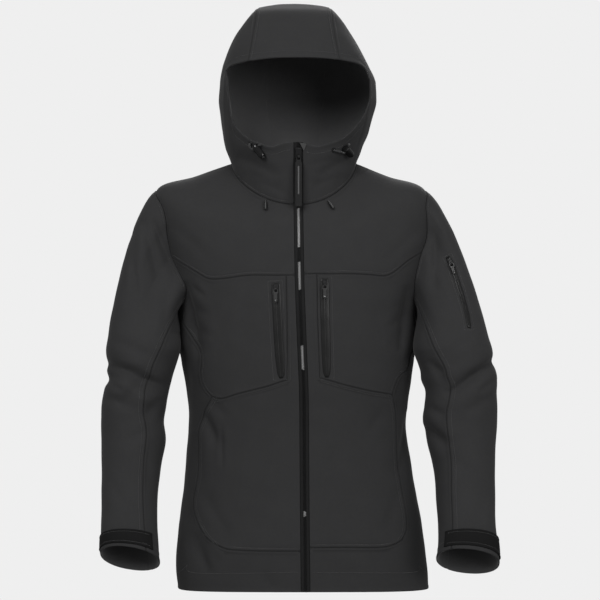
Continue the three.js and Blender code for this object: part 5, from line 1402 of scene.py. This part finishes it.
def tile(points, faces, placed):
    """Repeats one small shape at many placings, each (origin, x, y, z)."""
    points = np.array(points, float)
    frames = np.stack(placed[1:], axis=-1)
    everything = np.einsum("nij,kj->nki", frames, points) + placed[0][:, None]
    count = len(points)
    return everything.reshape(-1, 3), [tuple(i + count * n for i in face)
                                       for n in range(len(placed[0])) for face in faces]


def bar(length, width, height):
    """A small bar with both ends drawn in, along its own Y."""
    points, faces = [], []
    for y, scale in ((-0.5, 0.35), (-0.28, 1.0), (0.28, 1.0), (0.5, 0.35)):
        for x, z in ((-1, 0), (0, 1), (1, 0), (0, -1)):
            points.append((x * width / 2 * scale, y * length, z * height / 2 * scale))
    for k in range(3):
        for i in range(4):
            j = (i + 1) % 4
            faces.append((k * 4 + i, k * 4 + j, (k + 1) * 4 + j, (k + 1) * 4 + i))
    faces += [(3, 2, 1, 0), (12, 13, 14, 15)]
    return points, faces


def tooth(across, along, high):
    """One zip tooth: a block with a narrower rounded crown. X runs across the zip and Z out of it."""
    points, faces = [], []
    for z, scale in ((0, 1.0), (0.6, 1.0), (1.0, 0.6)):
        for x, y in ((-0.5, -0.32), (-0.3, -0.5), (0.3, -0.5), (0.5, -0.32),
                     (0.5, 0.32), (0.3, 0.5), (-0.3, 0.5), (-0.5, 0.32)):
            points.append((x * across * scale, y * along * scale, z * high))
    for k in range(2):
        for i in range(8):
            j = (i + 1) % 8
            faces.append((k * 8 + i, k * 8 + j, (k + 1) * 8 + j, (k + 1) * 8 + i))
    faces += [tuple(range(8))[::-1], tuple(range(16, 24))]
    return points, faces


def line_frames(points, normals, pitch):
    """Evenly spaced placings along a line: origins, and axes across, along and out."""
    places, out = resample(points, normals, pitch)
    middles = (places[1:] + places[:-1]) / 2
    along = unit(places[1:] - places[:-1])
    out = unit(out[1:] + out[:-1])
    across = unit(np.cross(along, out))
    return middles, across, along, unit(np.cross(across, along))


# Second rows, hems and the face opening are sewn farther in than the first row beside a seam
SECOND_ROW = 8.6
BODY_HEM_ROW = 34
CUFF_HEM_ROW = 14
FACE_HEM_ROW = 13
WHOLE = (0, None)


def stitch_rows():
    """Rows of stitches: cloth piece, side of its pattern, distance in, span in pattern steps, and patch."""
    across = STEPS["shoulder"] + STEPS["neck_front"]
    side_steps = STEPS["chest_side"] + STEPS["lower_side"]
    rows = [
        ("back_yoke", "bottom"),
        ("back_body", "bottom", BODY_HEM_ROW),
        ("hood_centre", "top", FACE_HEM_ROW),
        ("hood_centre", "start"),
        ("hood_centre", "end"),
    ]
    for name in FRONT_SEAMS:
        yoke, chest, lower = f"front_yoke_{name}", f"front_chest_{name}", f"front_lower_{name}"
        hem, upper, under = f"side_hem_{name}", f"sleeve_upper_{name}", f"sleeve_under_{name}"
        hood = f"hood_side_{name}"
        rows += [
            (yoke, "bottom", STITCH_LINE, (0, across - 1)),
            (yoke, "top", STITCH_LINE, (0, STEPS["shoulder"])),
            (yoke, "end"),
            (chest, "start", STITCH_LINE, (STEPS["armhole_chest"], None)),
            (lower, "end"),
            (lower, "start"),
            (lower, "end", STITCH_LINE, WHOLE, 1),
            (lower, "top", STITCH_LINE, (0, across - 1), 1),
            (lower, "start", STITCH_LINE, WHOLE, 1),
            (lower, "start", SECOND_ROW, WHOLE, 1),
            (lower, "bottom", STITCH_LINE, WHOLE, 1),
            (hem, "bottom", BODY_HEM_ROW, (side_steps, None)),
            (hem, "bottom", STITCH_LINE, (0, side_steps)),
            (hem, "end"),
            (upper, "top"),
            (upper, "end"),
            (upper, "end", SECOND_ROW),
            (upper, "start"),
            (upper, "bottom", CUFF_HEM_ROW),
            (under, "bottom", CUFF_HEM_ROW),
            (hood, "top", FACE_HEM_ROW, (0, STEPS["face_side"]), 1),
            (hood, "start", FACE_HEM_ROW),
            (hood, "top"),
            (hood, "end"),
            (hood, "end", STITCH_LINE, WHOLE, 1),
            (hood, "start", STITCH_LINE, WHOLE, 1),
            (hood, "bottom", STITCH_LINE, WHOLE, 1),
        ]
    return rows


# Chest and sleeve pocket zips from the top down: x, z as seen from the front, and half width
POCKET_ZIPS = {
    "chest_left": ("chest_zip_tape_left", ["front_chest_left", "front_lower_left", "front_yoke_left"],
                   [(-37.6, -208.5, 5), (-37.4, -211, 7.2), (-37, -220, 7.75), (-35.5, -255, 7.75),
                    (-33.5, -295, 7.75), (-31, -335, 7.5), (-29, -362, 6.2), (-28.4, -371, 3.2)]),
    "chest_right": ("chest_zip_tape_right", ["front_chest_right", "front_lower_right", "front_yoke_right"],
                    [(45, -201.5, 5), (45.1, -204, 7.2), (45.3, -213, 7.75), (46, -250, 7.75),
                     (47, -290, 7.75), (48.2, -335, 7.5), (49, -361, 6.2), (49.3, -369.5, 3.2)]),
    "sleeve": ("sleeve_zip_tape", ["sleeve_upper_right"],
               [(258.5, -163.8, 3.4), (260.5, -168, 4.6), (267, -184, 4.6), (272.8, -203, 4.6),
                (282.2, -234, 4.6), (289, -262, 4.6), (291.6, -281, 4.2), (291.8, -286, 2.6)]),
}
# Across a pocket zip, with its slit in the middle: share of its half width, and height over the cloth
POCKET_PROFILE = [(-1, 0.2), (-0.9, 0.75), (-0.55, 0.95), (-0.2, 1.3), (-0.06, 1.25), (0, 0.75),
                  (0.06, 1.25), (0.2, 1.3), (0.55, 0.95), (0.9, 0.75), (1, 0.2)]


def dense_path(path, step):
    """A path with points about a step apart, its corners kept."""
    rows = np.array(path, float)
    length = np.concatenate([[0], np.cumsum(np.hypot(*np.diff(rows[:, :2], axis=0).T))])
    target = np.unique(np.concatenate([length, np.linspace(0, length[-1], int(length[-1] / step) + 1)]))
    return np.stack([np.interp(target, length, rows[:, k]) for k in range(3)], axis=1)


def laid_rows(tree, path, step):
    """Points, normals and directions across a path that lies on cloth."""
    rows = dense_path(path, step)
    found = [seen_on(tree, x, z) for x, z, _ in rows]
    middles = np.array([place for place, _ in found])
    normals = np.array([normal for _, normal in found])
    for _ in range(3):
        normals[1:-1] = unit(normals[:-2] + normals[1:-1] + normals[2:])
    across = unit(np.cross(np.gradient(middles, axis=0), normals))
    return middles, normals, across, rows[:, 2]


SIZES = dict(subtype="DISTANCE", unit="LENGTH", precision=4)


def colour_property(name, description, default):
    """A colour in the panel."""
    return bpy.props.FloatVectorProperty(name=name, description=description, default=(*default, 1.0), size=4,
                                         min=0.0, max=1.0, subtype="COLOR")


class JacketSizes(bpy.types.PropertyGroup):
    """Sizes that a maker would change."""
    wall: bpy.props.FloatProperty(name="Cloth thickness", description="Thickness of the bonded cloth",
                                  default=SHELL_WALL * MM, **SIZES)
    seam_gap: bpy.props.FloatProperty(name="Seam gap", description="Space between two panels at a seam",
                                      default=0.0003, **SIZES)
    groove: bpy.props.FloatProperty(name="Seam groove", description="How far cloth is drawn down into a seam",
                                    default=0.0008, **SIZES)
    hem_roll: bpy.props.FloatProperty(name="Hem roll", default=0.0007,
                                      description="Extra thickness where an edge is turned under", **SIZES)
    stitch: bpy.props.FloatProperty(name="Stitch length", description="Length of one stitch",
                                    default=0.0024, **SIZES)
    stitch_pitch: bpy.props.FloatProperty(name="Stitch spacing", description="From one stitch to the next",
                                          default=0.0032, **SIZES)
    thread: bpy.props.FloatProperty(name="Thread", description="Thickness of the sewing thread",
                                    default=0.0006, **SIZES)
    tooth_pitch: bpy.props.FloatProperty(name="Tooth spacing", description="From one zip tooth to the next",
                                         default=0.0025, **SIZES)


class JacketColours(bpy.types.PropertyGroup):
    """Colours of the cloth and trims."""
    shell: colour_property("Main cloth", "Face of the yoke, chest, sleeves and hood",
                           (0.0365, 0.0365, 0.0373))
    panel: colour_property("Side cloth", "Face of the side and under sleeve panels", (0.0345, 0.0345, 0.0353))
    # Painted light: a lighter copy of the inside colour, to stand for light in the shaded hollow of the hood.
    hood_backing_painted_light: colour_property("Hood inside", "Inside face of the hood", (0.085, 0.085, 0.0865))
    backing: colour_property("Inside", "Inside face of the cloth", (0.05, 0.05, 0.051))
    tape: colour_property("Zip tape", "Woven tape of the main zip", (0.011, 0.011, 0.0112))
    coated: colour_property("Coated tape", "Glossy tape of the pocket zips", (0.009, 0.009, 0.009))
    strap: colour_property("Cuff strap", "Webbing of the cuff tabs", (0.007, 0.007, 0.0072))
    rubber: colour_property("Rubber", "Zip pulls, cuff tips and cord ends", (0.006, 0.006, 0.0062))
    stripe: colour_property("Pull stripe", "Plain stripe down the long pull", (0.1, 0.1, 0.101))
    small_pull: colour_property("Small pulls", "Moulded ends of the pocket zip pulls", (0.03, 0.03, 0.03))
    metal: colour_property("Sliders", "Lacquered sliders and eyelets", (0.02, 0.02, 0.0205))
    teeth: colour_property("Teeth", "Teeth of the main zip", (0.02, 0.02, 0.0205))
    # Painted highlight: lighter teeth at given heights stand for glints of the lamps on the teeth.
    glint_teeth: colour_property("Glint teeth", "Teeth painted light as lamp glints", (0.5, 0.5, 0.5))
    plastic: colour_property("Locks", "Hard plastic of the cord locks", (0.008, 0.008, 0.0082))
    cord: colour_property("Cord", "Braided hood cord", (0.025, 0.025, 0.026))
    # Lighter than the cloth, as painted sheen of the thread.
    thread: colour_property("Thread", "Sewing thread", (0.05, 0.05, 0.051))
    flap: colour_property("Zip garage", "Small flap at the top of the main zip", (0.07, 0.07, 0.07))
    ground: colour_property("Ground", "Pale studio ground", (0.863, 0.863, 0.863))


class JacketOperator:
    """What every step of the making shares."""
    bl_options = {"REGISTER"}

    def execute(self, context):
        self.make(context.scene.jacket_sizes, context.scene.jacket_colours)
        return {"FINISHED"}


CAMERA_PLACE = (0.0035, -4.5, -0.238)
CAMERA_LENS = 154.3
FLOOR_HEIGHT = -1.15
FLOOR_RADIUS = 14.0
FLOOR_SIDES = 64
ROOM_LIGHT = 0.3
# Lamps: name, place, size and power
LAMPS = [
    ("key_lamp", (-1.6, -3.4, 1.6), 1.6, 60.0),
    ("fill_lamp", (2.2, -3.2, 0.6), 1.8, 42.0),
    ("top_lamp", (0.0, -0.8, 3.2), 2.2, 12.0),
    ("back_lamp", (0.4, 3.4, 1.8), 2.0, 75.0),
]
LAMP_TARGET = (0.0, 0.0, -0.25)


class JACKET_OT_stage(JacketOperator, bpy.types.Operator):
    """Camera, pale floor and soft studio light"""
    bl_idname = "jacket.stage"
    bl_label = "Camera and studio"

    def make(self, sizes, colours):
        scene = bpy.context.scene
        lens = bpy.data.cameras.new("camera")
        lens.lens = CAMERA_LENS
        lens.sensor_width = 36.0
        lens.clip_end = 60.0
        camera = bpy.data.objects.new("camera", lens)
        camera.location = CAMERA_PLACE
        camera.rotation_euler = (math.pi / 2, 0, 0)
        scene.collection.objects.link(camera)
        scene.camera = camera
        scene.view_settings.view_transform = "Standard"
        for name, place, size, power in LAMPS:
            lamp = bpy.data.lights.new(name, "AREA")
            lamp.shape = "DISK"
            lamp.size = size
            lamp.energy = power
            holder = bpy.data.objects.new(name, lamp)
            holder.location = place
            holder.rotation_euler = (Vector(LAMP_TARGET) - Vector(place)).to_track_quat("-Z", "Y").to_euler()
            scene.collection.objects.link(holder)
        world = bpy.data.worlds.new("studio")
        world.use_nodes = True
        sky = world.node_tree.nodes["Background"]
        sky.inputs["Color"].default_value = colours.ground
        path = world.node_tree.nodes.new("ShaderNodeLightPath")
        strength = world.node_tree.nodes.new("ShaderNodeMapRange")
        strength.inputs["To Min"].default_value = ROOM_LIGHT
        world.node_tree.links.new(path.outputs["Is Camera Ray"], strength.inputs["Value"])
        world.node_tree.links.new(strength.outputs["Result"], sky.inputs["Strength"])
        scene.world = world
        ground = bpy.data.materials.new("ground")
        ground.use_nodes = True
        shader = ground.node_tree.nodes["Principled BSDF"]
        shader.inputs["Base Color"].default_value = (0.0, 0.0, 0.0, 1.0)
        shader.inputs["Specular IOR Level"].default_value = 0.0
        shader.inputs["Roughness"].default_value = 1.0
        shader.inputs["Emission Color"].default_value = colours.ground
        shader.inputs["Emission Strength"].default_value = 1.0
        mesh = bpy.data.meshes.new("floor")
        around = [math.tau * k / FLOOR_SIDES for k in range(FLOOR_SIDES)]
        corners = [(FLOOR_RADIUS * math.cos(a), FLOOR_RADIUS * math.sin(a), FLOOR_HEIGHT) for a in around]
        mesh.from_pydata(corners, [], [tuple(range(FLOOR_SIDES))])
        mesh.materials.append(ground)
        floor = bpy.data.objects.new("floor", mesh)
        floor.visible_diffuse = False
        floor.visible_glossy = False
        scene.collection.objects.link(floor)


class JACKET_OT_cords(JacketOperator, bpy.types.Operator):
    """Braided hood cord from each eyelet through its lock"""
    bl_idname = "jacket.cords"
    bl_label = "Hood cords"

    def make(self, sizes, colours):
        for name, route in CORD_ROUTES.items():
            points, faces = tube(route, CORD_RADIUS, CORD_SIDES)
            piece = build_piece(f"hood_cord_{name}_braid", points, faces, [FINISHES["cord"]])
            dress(piece, BODY, "cord", f"hood_cord_{name}")


class JACKET_OT_fronts(JacketOperator, bpy.types.Operator):
    """Yokes, chest panels, lower fronts and side panels of both fronts"""
    bl_idname = "jacket.fronts"
    bl_label = "Fronts"

    def make(self, sizes, colours):
        for name in FRONT_SEAMS:
            make_cloth([f"front_yoke_{name}", f"front_chest_{name}", f"front_lower_{name}"],
                       "shell", "shell_cloth", sizes)
            make_cloth([f"side_hem_{name}"], "panel", "panel_cloth", sizes)


class JACKET_OT_back(JacketOperator, bpy.types.Operator):
    """Back yoke and back"""
    bl_idname = "jacket.back"
    bl_label = "Back"

    def make(self, sizes, colours):
        make_cloth(["back_yoke", "back_body"], "shell", "shell_cloth", sizes)


class JACKET_OT_sleeves(JacketOperator, bpy.types.Operator):
    """Upper and under pieces of both sleeves"""
    bl_idname = "jacket.sleeves"
    bl_label = "Sleeves"

    def make(self, sizes, colours):
        for name in FRONT_SEAMS:
            make_cloth([f"sleeve_upper_{name}"], "shell", "shell_cloth", sizes)
            make_cloth([f"sleeve_under_{name}"], "panel", "panel_cloth", sizes)


class JACKET_OT_hood(JacketOperator, bpy.types.Operator):
    """Hood sides with their collar stand, and the centre strip"""
    bl_idname = "jacket.hood"
    bl_label = "Hood"

    def make(self, sizes, colours):
        make_cloth(["hood_side_left", "hood_side_right", "hood_centre"], "shell", "shell_cloth", sizes,
                   "hood_backing_painted_light")


TAPE_COLUMNS = 5
TAPE_SINK = 0.5
TEETH_SINK = 0.2
TOOTH = (3.0, 1.5, 1.5)
TOOTH_OUT = 0.9
# Heights between which the teeth are painted light: painted glints of the lamps on the teeth
GLINT_HEIGHTS = [(-82, -148), (-173, -221), (-316, -356), (-598, -607)]


class JACKET_OT_main_zip(JacketOperator, bpy.types.Operator):
    """Tapes and teeth of the main zip"""
    bl_idname = "jacket.main_zip"
    bl_label = "Main zip"

    def make(self, sizes, colours):
        normals = zip_normals()
        for name, edge in ZIP_EDGES.items():
            part = np.linspace(0, 1, TAPE_COLUMNS)[None, :, None]
            grid = edge[:, None] * (1 - part) + ZIP_CENTRE[:, None] * part
            spread = np.repeat(normals[:, None], TAPE_COLUMNS, axis=1)
            points, faces = closed_sheet(grid - spread * TAPE_SINK, spread, TAPE_WALL)
            piece = build_piece(f"main_zip_tape_{name}", points, faces, [FINISHES["tape"]])
            dress(piece, BODY, "zip_tape", f"zip_tape_{name}")
        middles, across, along, out = line_frames(ZIP_CENTRE, normals, sizes.tooth_pitch / MM / 2)
        side = np.where(np.arange(len(middles)) % 2, 1.0, -1.0)[:, None]
        places = middles + across * side * TOOTH_OUT + out * TEETH_SINK
        block = tooth(*TOOTH)
        points, faces = tile(*block, (places, across, along, out))
        # Painted highlight: teeth within these heights take the pale glint finish
        glinting = np.any([(places[:, 2] < top) & (places[:, 2] > bottom) for top, bottom in GLINT_HEIGHTS], axis=0)
        which = np.repeat(glinting.astype(int), len(block[1]))
        materials = [FINISHES["teeth"], FINISHES["glint_teeth"]]
        piece = build_piece("main_zip_teeth", points, faces, materials, which, smooth=False)
        dress(piece, BODY, "coated_metal")


class JACKET_OT_pocket_zips(JacketOperator, bpy.types.Operator):
    """Coated tapes of the chest and sleeve pocket zips, and the stitched window round each"""
    bl_idname = "jacket.pocket_zips"
    bl_label = "Pocket zips"

    def make(self, sizes, colours):
        rows = []
        for key, (node, panels, path) in POCKET_ZIPS.items():
            tree = surface_of(panels, SHELL_WALL / 2)
            middles, normals, across, half = laid_rows(tree, path, 4.0)
            share = np.array([x for x, _ in POCKET_PROFILE])
            height = np.array([h for _, h in POCKET_PROFILE])
            grid = (middles[:, None] + across[:, None] * (share[None] * half[:, None])[..., None]
                    + normals[:, None] * height[None, :, None])
            spread = np.repeat(normals[:, None], len(share), axis=1)
            points, faces = closed_sheet(grid, spread, 0.5)
            piece = build_piece(f"{key}_coated_tape", points, faces, [FINISHES["coated"]])
            dress(piece, BODY, "zip_tape", node)
            ring = window_path(path, POCKET_WINDOW[key])
            middles, normals, _, _ = laid_rows(tree, ring, 3.0)
            rows.append((middles + normals * 0.1, normals))
        make_stitches("pocket_stitching", rows, sizes)


# How far outside its zip the stitched window of each pocket runs: left, right and past both ends
POCKET_WINDOW = {"chest_left": (13.5, 11.5, 3.0), "chest_right": (11.0, 12.5, 3.0), "sleeve": (8.5, 8.5, 3.0)}


def window_path(path, window):
    """The ring of stitches round a pocket zip."""
    rows = np.array(path, float)
    left, right, past = window
    line = rows[:, :2]
    along = unit(np.gradient(line, axis=0))
    across = np.stack([-along[:, 1], along[:, 0]], axis=1)
    top, bottom = line[0] - along[0] * past, line[-1] + along[-1] * past
    ends = [top - across[0] * left, top + across[0] * right]
    right_side = line[1:-1] + across[1:-1] * right
    left_side = line[1:-1] - across[1:-1] * left
    feet = [bottom + across[-1] * right, bottom - across[-1] * left]
    ring = np.concatenate([[ends[0]], [ends[1]], right_side, feet, left_side[::-1], [ends[0]]])
    return [(x, z, 1.0) for x, z in ring]


def make_stitches(name, rows, sizes):
    """Lays stitches along lines of points and normals."""
    pitch = sizes.stitch_pitch / MM
    frames = [line_frames(points, normals, pitch) for points, normals in rows]
    placed = tuple(np.concatenate([frame[k] for frame in frames]) for k in range(4))
    points, faces = tile(*bar(sizes.stitch / MM, sizes.thread / MM, sizes.thread / MM), placed)
    piece = build_piece(name, points, faces, [FINISHES["thread"]])
    dress(piece, BODY, "shell_cloth")


# How far the thread lies over the middle of the cloth, in a stitch trench and elsewhere
STITCH_LIFT = 0.62
ROLL_LIFT = 0.95


def whole_row(row):
    """A row of stitches with what it leaves out: beside the seam, along all of it, on the first patch."""
    return row + (STITCH_LINE, WHOLE, 0)[len(row) - 2:]


class JACKET_OT_stitching(JacketOperator, bpy.types.Operator):
    """Rows of topstitching beside the seams, at the hem, cuffs and face opening"""
    bl_idname = "jacket.stitching"
    bl_label = "Stitching"

    def make(self, sizes, colours):
        groups = {"body": [], "hood": [], "sleeves": []}
        for name, side, distance, span, patch in map(whole_row, stitch_rows()):
            points, normals = inset(CLOTH[name], side, distance, span, patch)
            lift = STITCH_LIFT if distance <= STITCH_LINE else ROLL_LIFT
            group = {"hood": "hood", "sleeve": "sleeves"}.get(name.split("_")[0], "body")
            groups[group].append((points + normals * lift, normals))
        for group, rows in groups.items():
            make_stitches(f"{group}_stitching", rows, sizes)


# Cuff strap: ring rows of its upper and lower edge, the angles between which it runs, and its tip
STRAP_ROWS = (9.78, 10.78)
STRAP_ANGLES = (0.0, 142.0)
STRAP_TIP_ANGLES = (-24.0, -1.2)
STRAP_LIFT = 2.15
STRAP_WALL = 1.6
STRAP_COLUMNS = 61
# Towards both ends of the strap: degrees from the end, and height of the binding over its middle plane
STRAP_END_BINDING = ([0, 2, 5, 8, 10], [-0.4, 0.25, 0.25, -0.1, 0.0])
# The binding leaves out the outermost line of the strap, which is lower than this
STRAP_CORNER = -0.3
STITCH_INSET = 7
TIP_LIFT = 2.55
TIP_WALL = 2.2
TIP_MARGIN = 0.06
TIP_ROWS, TIP_COLUMNS = 13, 45
TIP_RIBS, TIP_RIB_HEIGHT = 7, 0.28
TIP_ROUNDING = 0.7
# Across the strap: share of its width and height over its middle plane, with a bound edge and a sewn line
STRAP_PROFILE = [(0, -0.5), (0.02, 0.15), (0.05, 0.35), (0.1, 0.35), (0.14, 0.05), (0.17, -0.25), (0.2, 0.0),
                 (0.35, 0.1), (0.5, 0.12), (0.65, 0.1), (0.8, 0.0), (0.83, -0.25), (0.86, 0.05), (0.9, 0.35),
                 (0.95, 0.35), (0.98, 0.15), (1, -0.5)]
STRAP_STITCH = (0.17, 0.83)


def cuff_band(name, rows, angles, lift):
    """Points and normals over a cuff: ring rows by angles, at a height over the middle of its cloth."""
    rings = SLEEVE_RINGS[name]
    sign = FRONT_SEAMS[name]["sign"]
    row, angle = np.meshgrid(rows, angles, indexing="ij")
    place = sleeve_point(rings, sign, row, angle)
    around = sleeve_point(rings, sign, row, angle + 4) - sleeve_point(rings, sign, row, angle - 4)
    down = sleeve_point(rings, sign, row + 0.2, angle) - sleeve_point(rings, sign, row - 0.2, angle)
    normals = unit(np.cross(around, down))
    middle = place.mean(axis=(0, 1))
    core = sleeve_point(rings, sign, rows.mean(), np.arange(0, 360, 15)).mean(axis=0)
    if (normals.mean(axis=(0, 1)) * (middle - core)).sum() < 0:
        normals = -normals
    return place + normals * lift[..., None], normals


def from_ends(count):
    """Share of the way in from the nearer end, for evenly spaced places."""
    return np.minimum(np.linspace(0, 1, count), np.linspace(1, 0, count))


class JACKET_OT_cuff_straps(JacketOperator, bpy.types.Operator):
    """Webbing strap round each cuff, with bound edges, stitching and a moulded tip"""
    bl_idname = "jacket.cuff_straps"
    bl_label = "Cuff straps"

    def make(self, sizes, colours):
        share = np.array([s for s, _ in STRAP_PROFILE])
        rise = np.array([h for _, h in STRAP_PROFILE])
        upper, lower = STRAP_ROWS
        stitched = []
        for name in SLEEVE_RINGS:
            angles = np.linspace(*STRAP_ANGLES, STRAP_COLUMNS)
            ends = np.minimum(angles - angles[0], angles[-1] - angles)
            bound = np.interp(ends, *STRAP_END_BINDING)
            lift = STRAP_LIFT + rise[:, None] + bound[None] * (rise[:, None] > STRAP_CORNER)
            grid, normals = cuff_band(name, upper + (lower - upper) * share, angles, lift)
            points, faces = closed_sheet(grid, normals, STRAP_WALL)
            piece = build_piece(f"cuff_strap_{name}", points, faces, [FINISHES["strap"]])
            dress(piece, BODY, "cuff_strap", f"cuff_tab_{name}")
            width = float(np.linalg.norm(grid[-1] - grid[0], axis=1).mean()) * MM
            inner = np.linspace(STRAP_ANGLES[0] + STITCH_INSET, STRAP_ANGLES[1] - STITCH_INSET, 40)
            for place in STRAP_STITCH:
                height = np.full((1, len(inner)), STRAP_LIFT + STRAP_WALL / 2 - 0.1)
                line, out = cuff_band(name, np.array([upper + (lower - upper) * place]), inner, height)
                stitched.append((line[0], out[0]))
            ribs = np.linspace(*STRAP_TIP_ANGLES, TIP_COLUMNS)
            across = np.linspace(upper + TIP_MARGIN, lower - TIP_MARGIN, TIP_ROWS)
            edge = from_ends(TIP_ROWS)[:, None]
            tip_end = from_ends(TIP_COLUMNS)[None]
            body = np.minimum(1, np.minimum(edge / 0.16, tip_end / 0.1))
            waves = np.cos(np.linspace(0, math.tau * TIP_RIBS, TIP_COLUMNS))[None]
            ridge = TIP_RIB_HEIGHT * waves * (edge > 0.15) * (tip_end > 0.1)
            grid, normals = cuff_band(name, across, ribs, TIP_LIFT - TIP_ROUNDING * (1 - body) + ridge)
            points, faces = closed_sheet(grid, normals, TIP_WALL)
            piece = build_piece(f"cuff_strap_tip_{name}", points, faces, [FINISHES["small_pull"]])
            dress(piece, BODY, "soft_rubber", f"cuff_tip_{name}")
        make_stitches("strap_stitching", stitched, sizes)


# Stripe of the long pull: heights, half width and thickness
STRIPE_TOP, STRIPE_BOTTOM = -10.0, -58.0
STRIPE_HALF = 1.3
STRIPE_WALL = 0.5
STRIPE_ROWS = 25
# Across the stripe: place as a share of its half width, and height over the pull
STRIPE_PROFILE = [(-1, -0.15), (-0.6, 0.1), (0, 0.18), (0.6, 0.1), (1, -0.15)]
# Places across the front at which the sides of the pull are looked for
PULL_SEARCH = np.arange(-12, 16, 0.5)


def node_surface(name):
    """Surface of a CAD node, for laying trims on it."""
    node = frame["nodes"][name]
    points = [node.matrix_world @ vertex.co * (1 / MM) for vertex in node.data.vertices]
    return BVHTree.FromPolygons(points, [list(face.vertices) for face in node.data.polygons])


class JACKET_OT_pull_stripe(JacketOperator, bpy.types.Operator):
    """Plain inset stripe down the front of the long pull"""
    bl_idname = "jacket.pull_stripe"
    bl_label = "Pull stripe"

    def make(self, sizes, colours):
        tree = node_surface("main_pull")
        heights = np.linspace(STRIPE_TOP, STRIPE_BOTTOM, STRIPE_ROWS)
        grid, spread = [], []
        for z in heights:
            hits = [x for x in PULL_SEARCH if tree.ray_cast(Vector((x, RAY_START, z)), TO_BACK)[0]]
            middle = (hits[0] + hits[-1]) / 2
            found = [seen_on(tree, middle + share * STRIPE_HALF, z) for share, _ in STRIPE_PROFILE]
            grid.append([place for place, _ in found])
            spread.append([normal for _, normal in found])
        crown = np.array([rise for _, rise in STRIPE_PROFILE])[None, :, None]
        spread = np.array(spread)
        points, faces = closed_sheet(np.array(grid) + spread * crown, spread, STRIPE_WALL)
        piece = build_piece("main_pull_stripe", points, faces, [FINISHES["stripe"]])
        dress(piece, "main_pull_body", "soft_rubber")


class JACKET_OT_trims(JacketOperator, bpy.types.Operator):
    """Finishes of the sliders, pulls, cord locks, eyelets, cord ends and garage flap"""
    bl_idname = "jacket.trims"
    bl_label = "Trims"

    def make(self, sizes, colours):
        for names, finish in TRIM_FINISHES:
            for name in names:
                trim = frame["nodes"][name]
                for place in trim.material_slots:
                    place.material = FINISHES[finish]


TRIM_FINISHES = [
    (("main_slider", "chest_left_slider", "chest_right_slider", "sleeve_slider", "hood_eyelet_left",
      "hood_eyelet_right", "cord_button_left", "cord_button_right"), "metal"),
    (("main_pull",), "rubber"),
    (("chest_left_pull", "chest_right_pull", "sleeve_pull"), "small_pull"),
    (("neck_cord_end_left", "neck_cord_end_right"), "gloss"),
    (("cord_lock_left", "cord_lock_right"), "plastic"),
    (("garage_flap",), "flap"),
]

STEPS_IN_ORDER = [JACKET_OT_stage, JACKET_OT_cords, JACKET_OT_fronts, JACKET_OT_back, JACKET_OT_sleeves,
                  JACKET_OT_hood, JACKET_OT_main_zip, JACKET_OT_pocket_zips, JACKET_OT_stitching,
                  JACKET_OT_cuff_straps, JACKET_OT_pull_stripe, JACKET_OT_trims]


class JACKET_PT_steps(bpy.types.Panel):
    """Lists the steps of making the jacket"""
    bl_label = "Softshell jacket"
    bl_idname = "JACKET_PT_steps"
    bl_space_type = "VIEW_3D"
    bl_region_type = "UI"
    bl_category = "Jacket"

    def draw(self, context):
        for step in STEPS_IN_ORDER:
            self.layout.operator(step.bl_idname, text=step.bl_label)
        for group in (context.scene.jacket_sizes, context.scene.jacket_colours):
            for name in group.bl_rna.properties.keys():
                if name not in ("rna_type", "name"):
                    self.layout.prop(group, name)


CLASSES = [JacketSizes, JacketColours, *STEPS_IN_ORDER, JACKET_PT_steps]


def register():
    """Adds the panel, the steps and their settings."""
    for item in CLASSES:
        bpy.utils.register_class(item)
    bpy.types.Scene.jacket_sizes = bpy.props.PointerProperty(type=JacketSizes)
    bpy.types.Scene.jacket_colours = bpy.props.PointerProperty(type=JacketColours)


def unregister():
    """Takes them away again."""
    del bpy.types.Scene.jacket_colours
    del bpy.types.Scene.jacket_sizes
    for item in reversed(CLASSES):
        bpy.utils.unregister_class(item)


def main():
    """Makes the whole jacket."""
    register()
    FINISHES.update(build_finishes(bpy.context.scene.jacket_colours))
    for step in STEPS_IN_ORDER:
        getattr(bpy.ops.jacket, step.bl_idname.split(".")[1])()


if __name__ == "__main__":
    main()
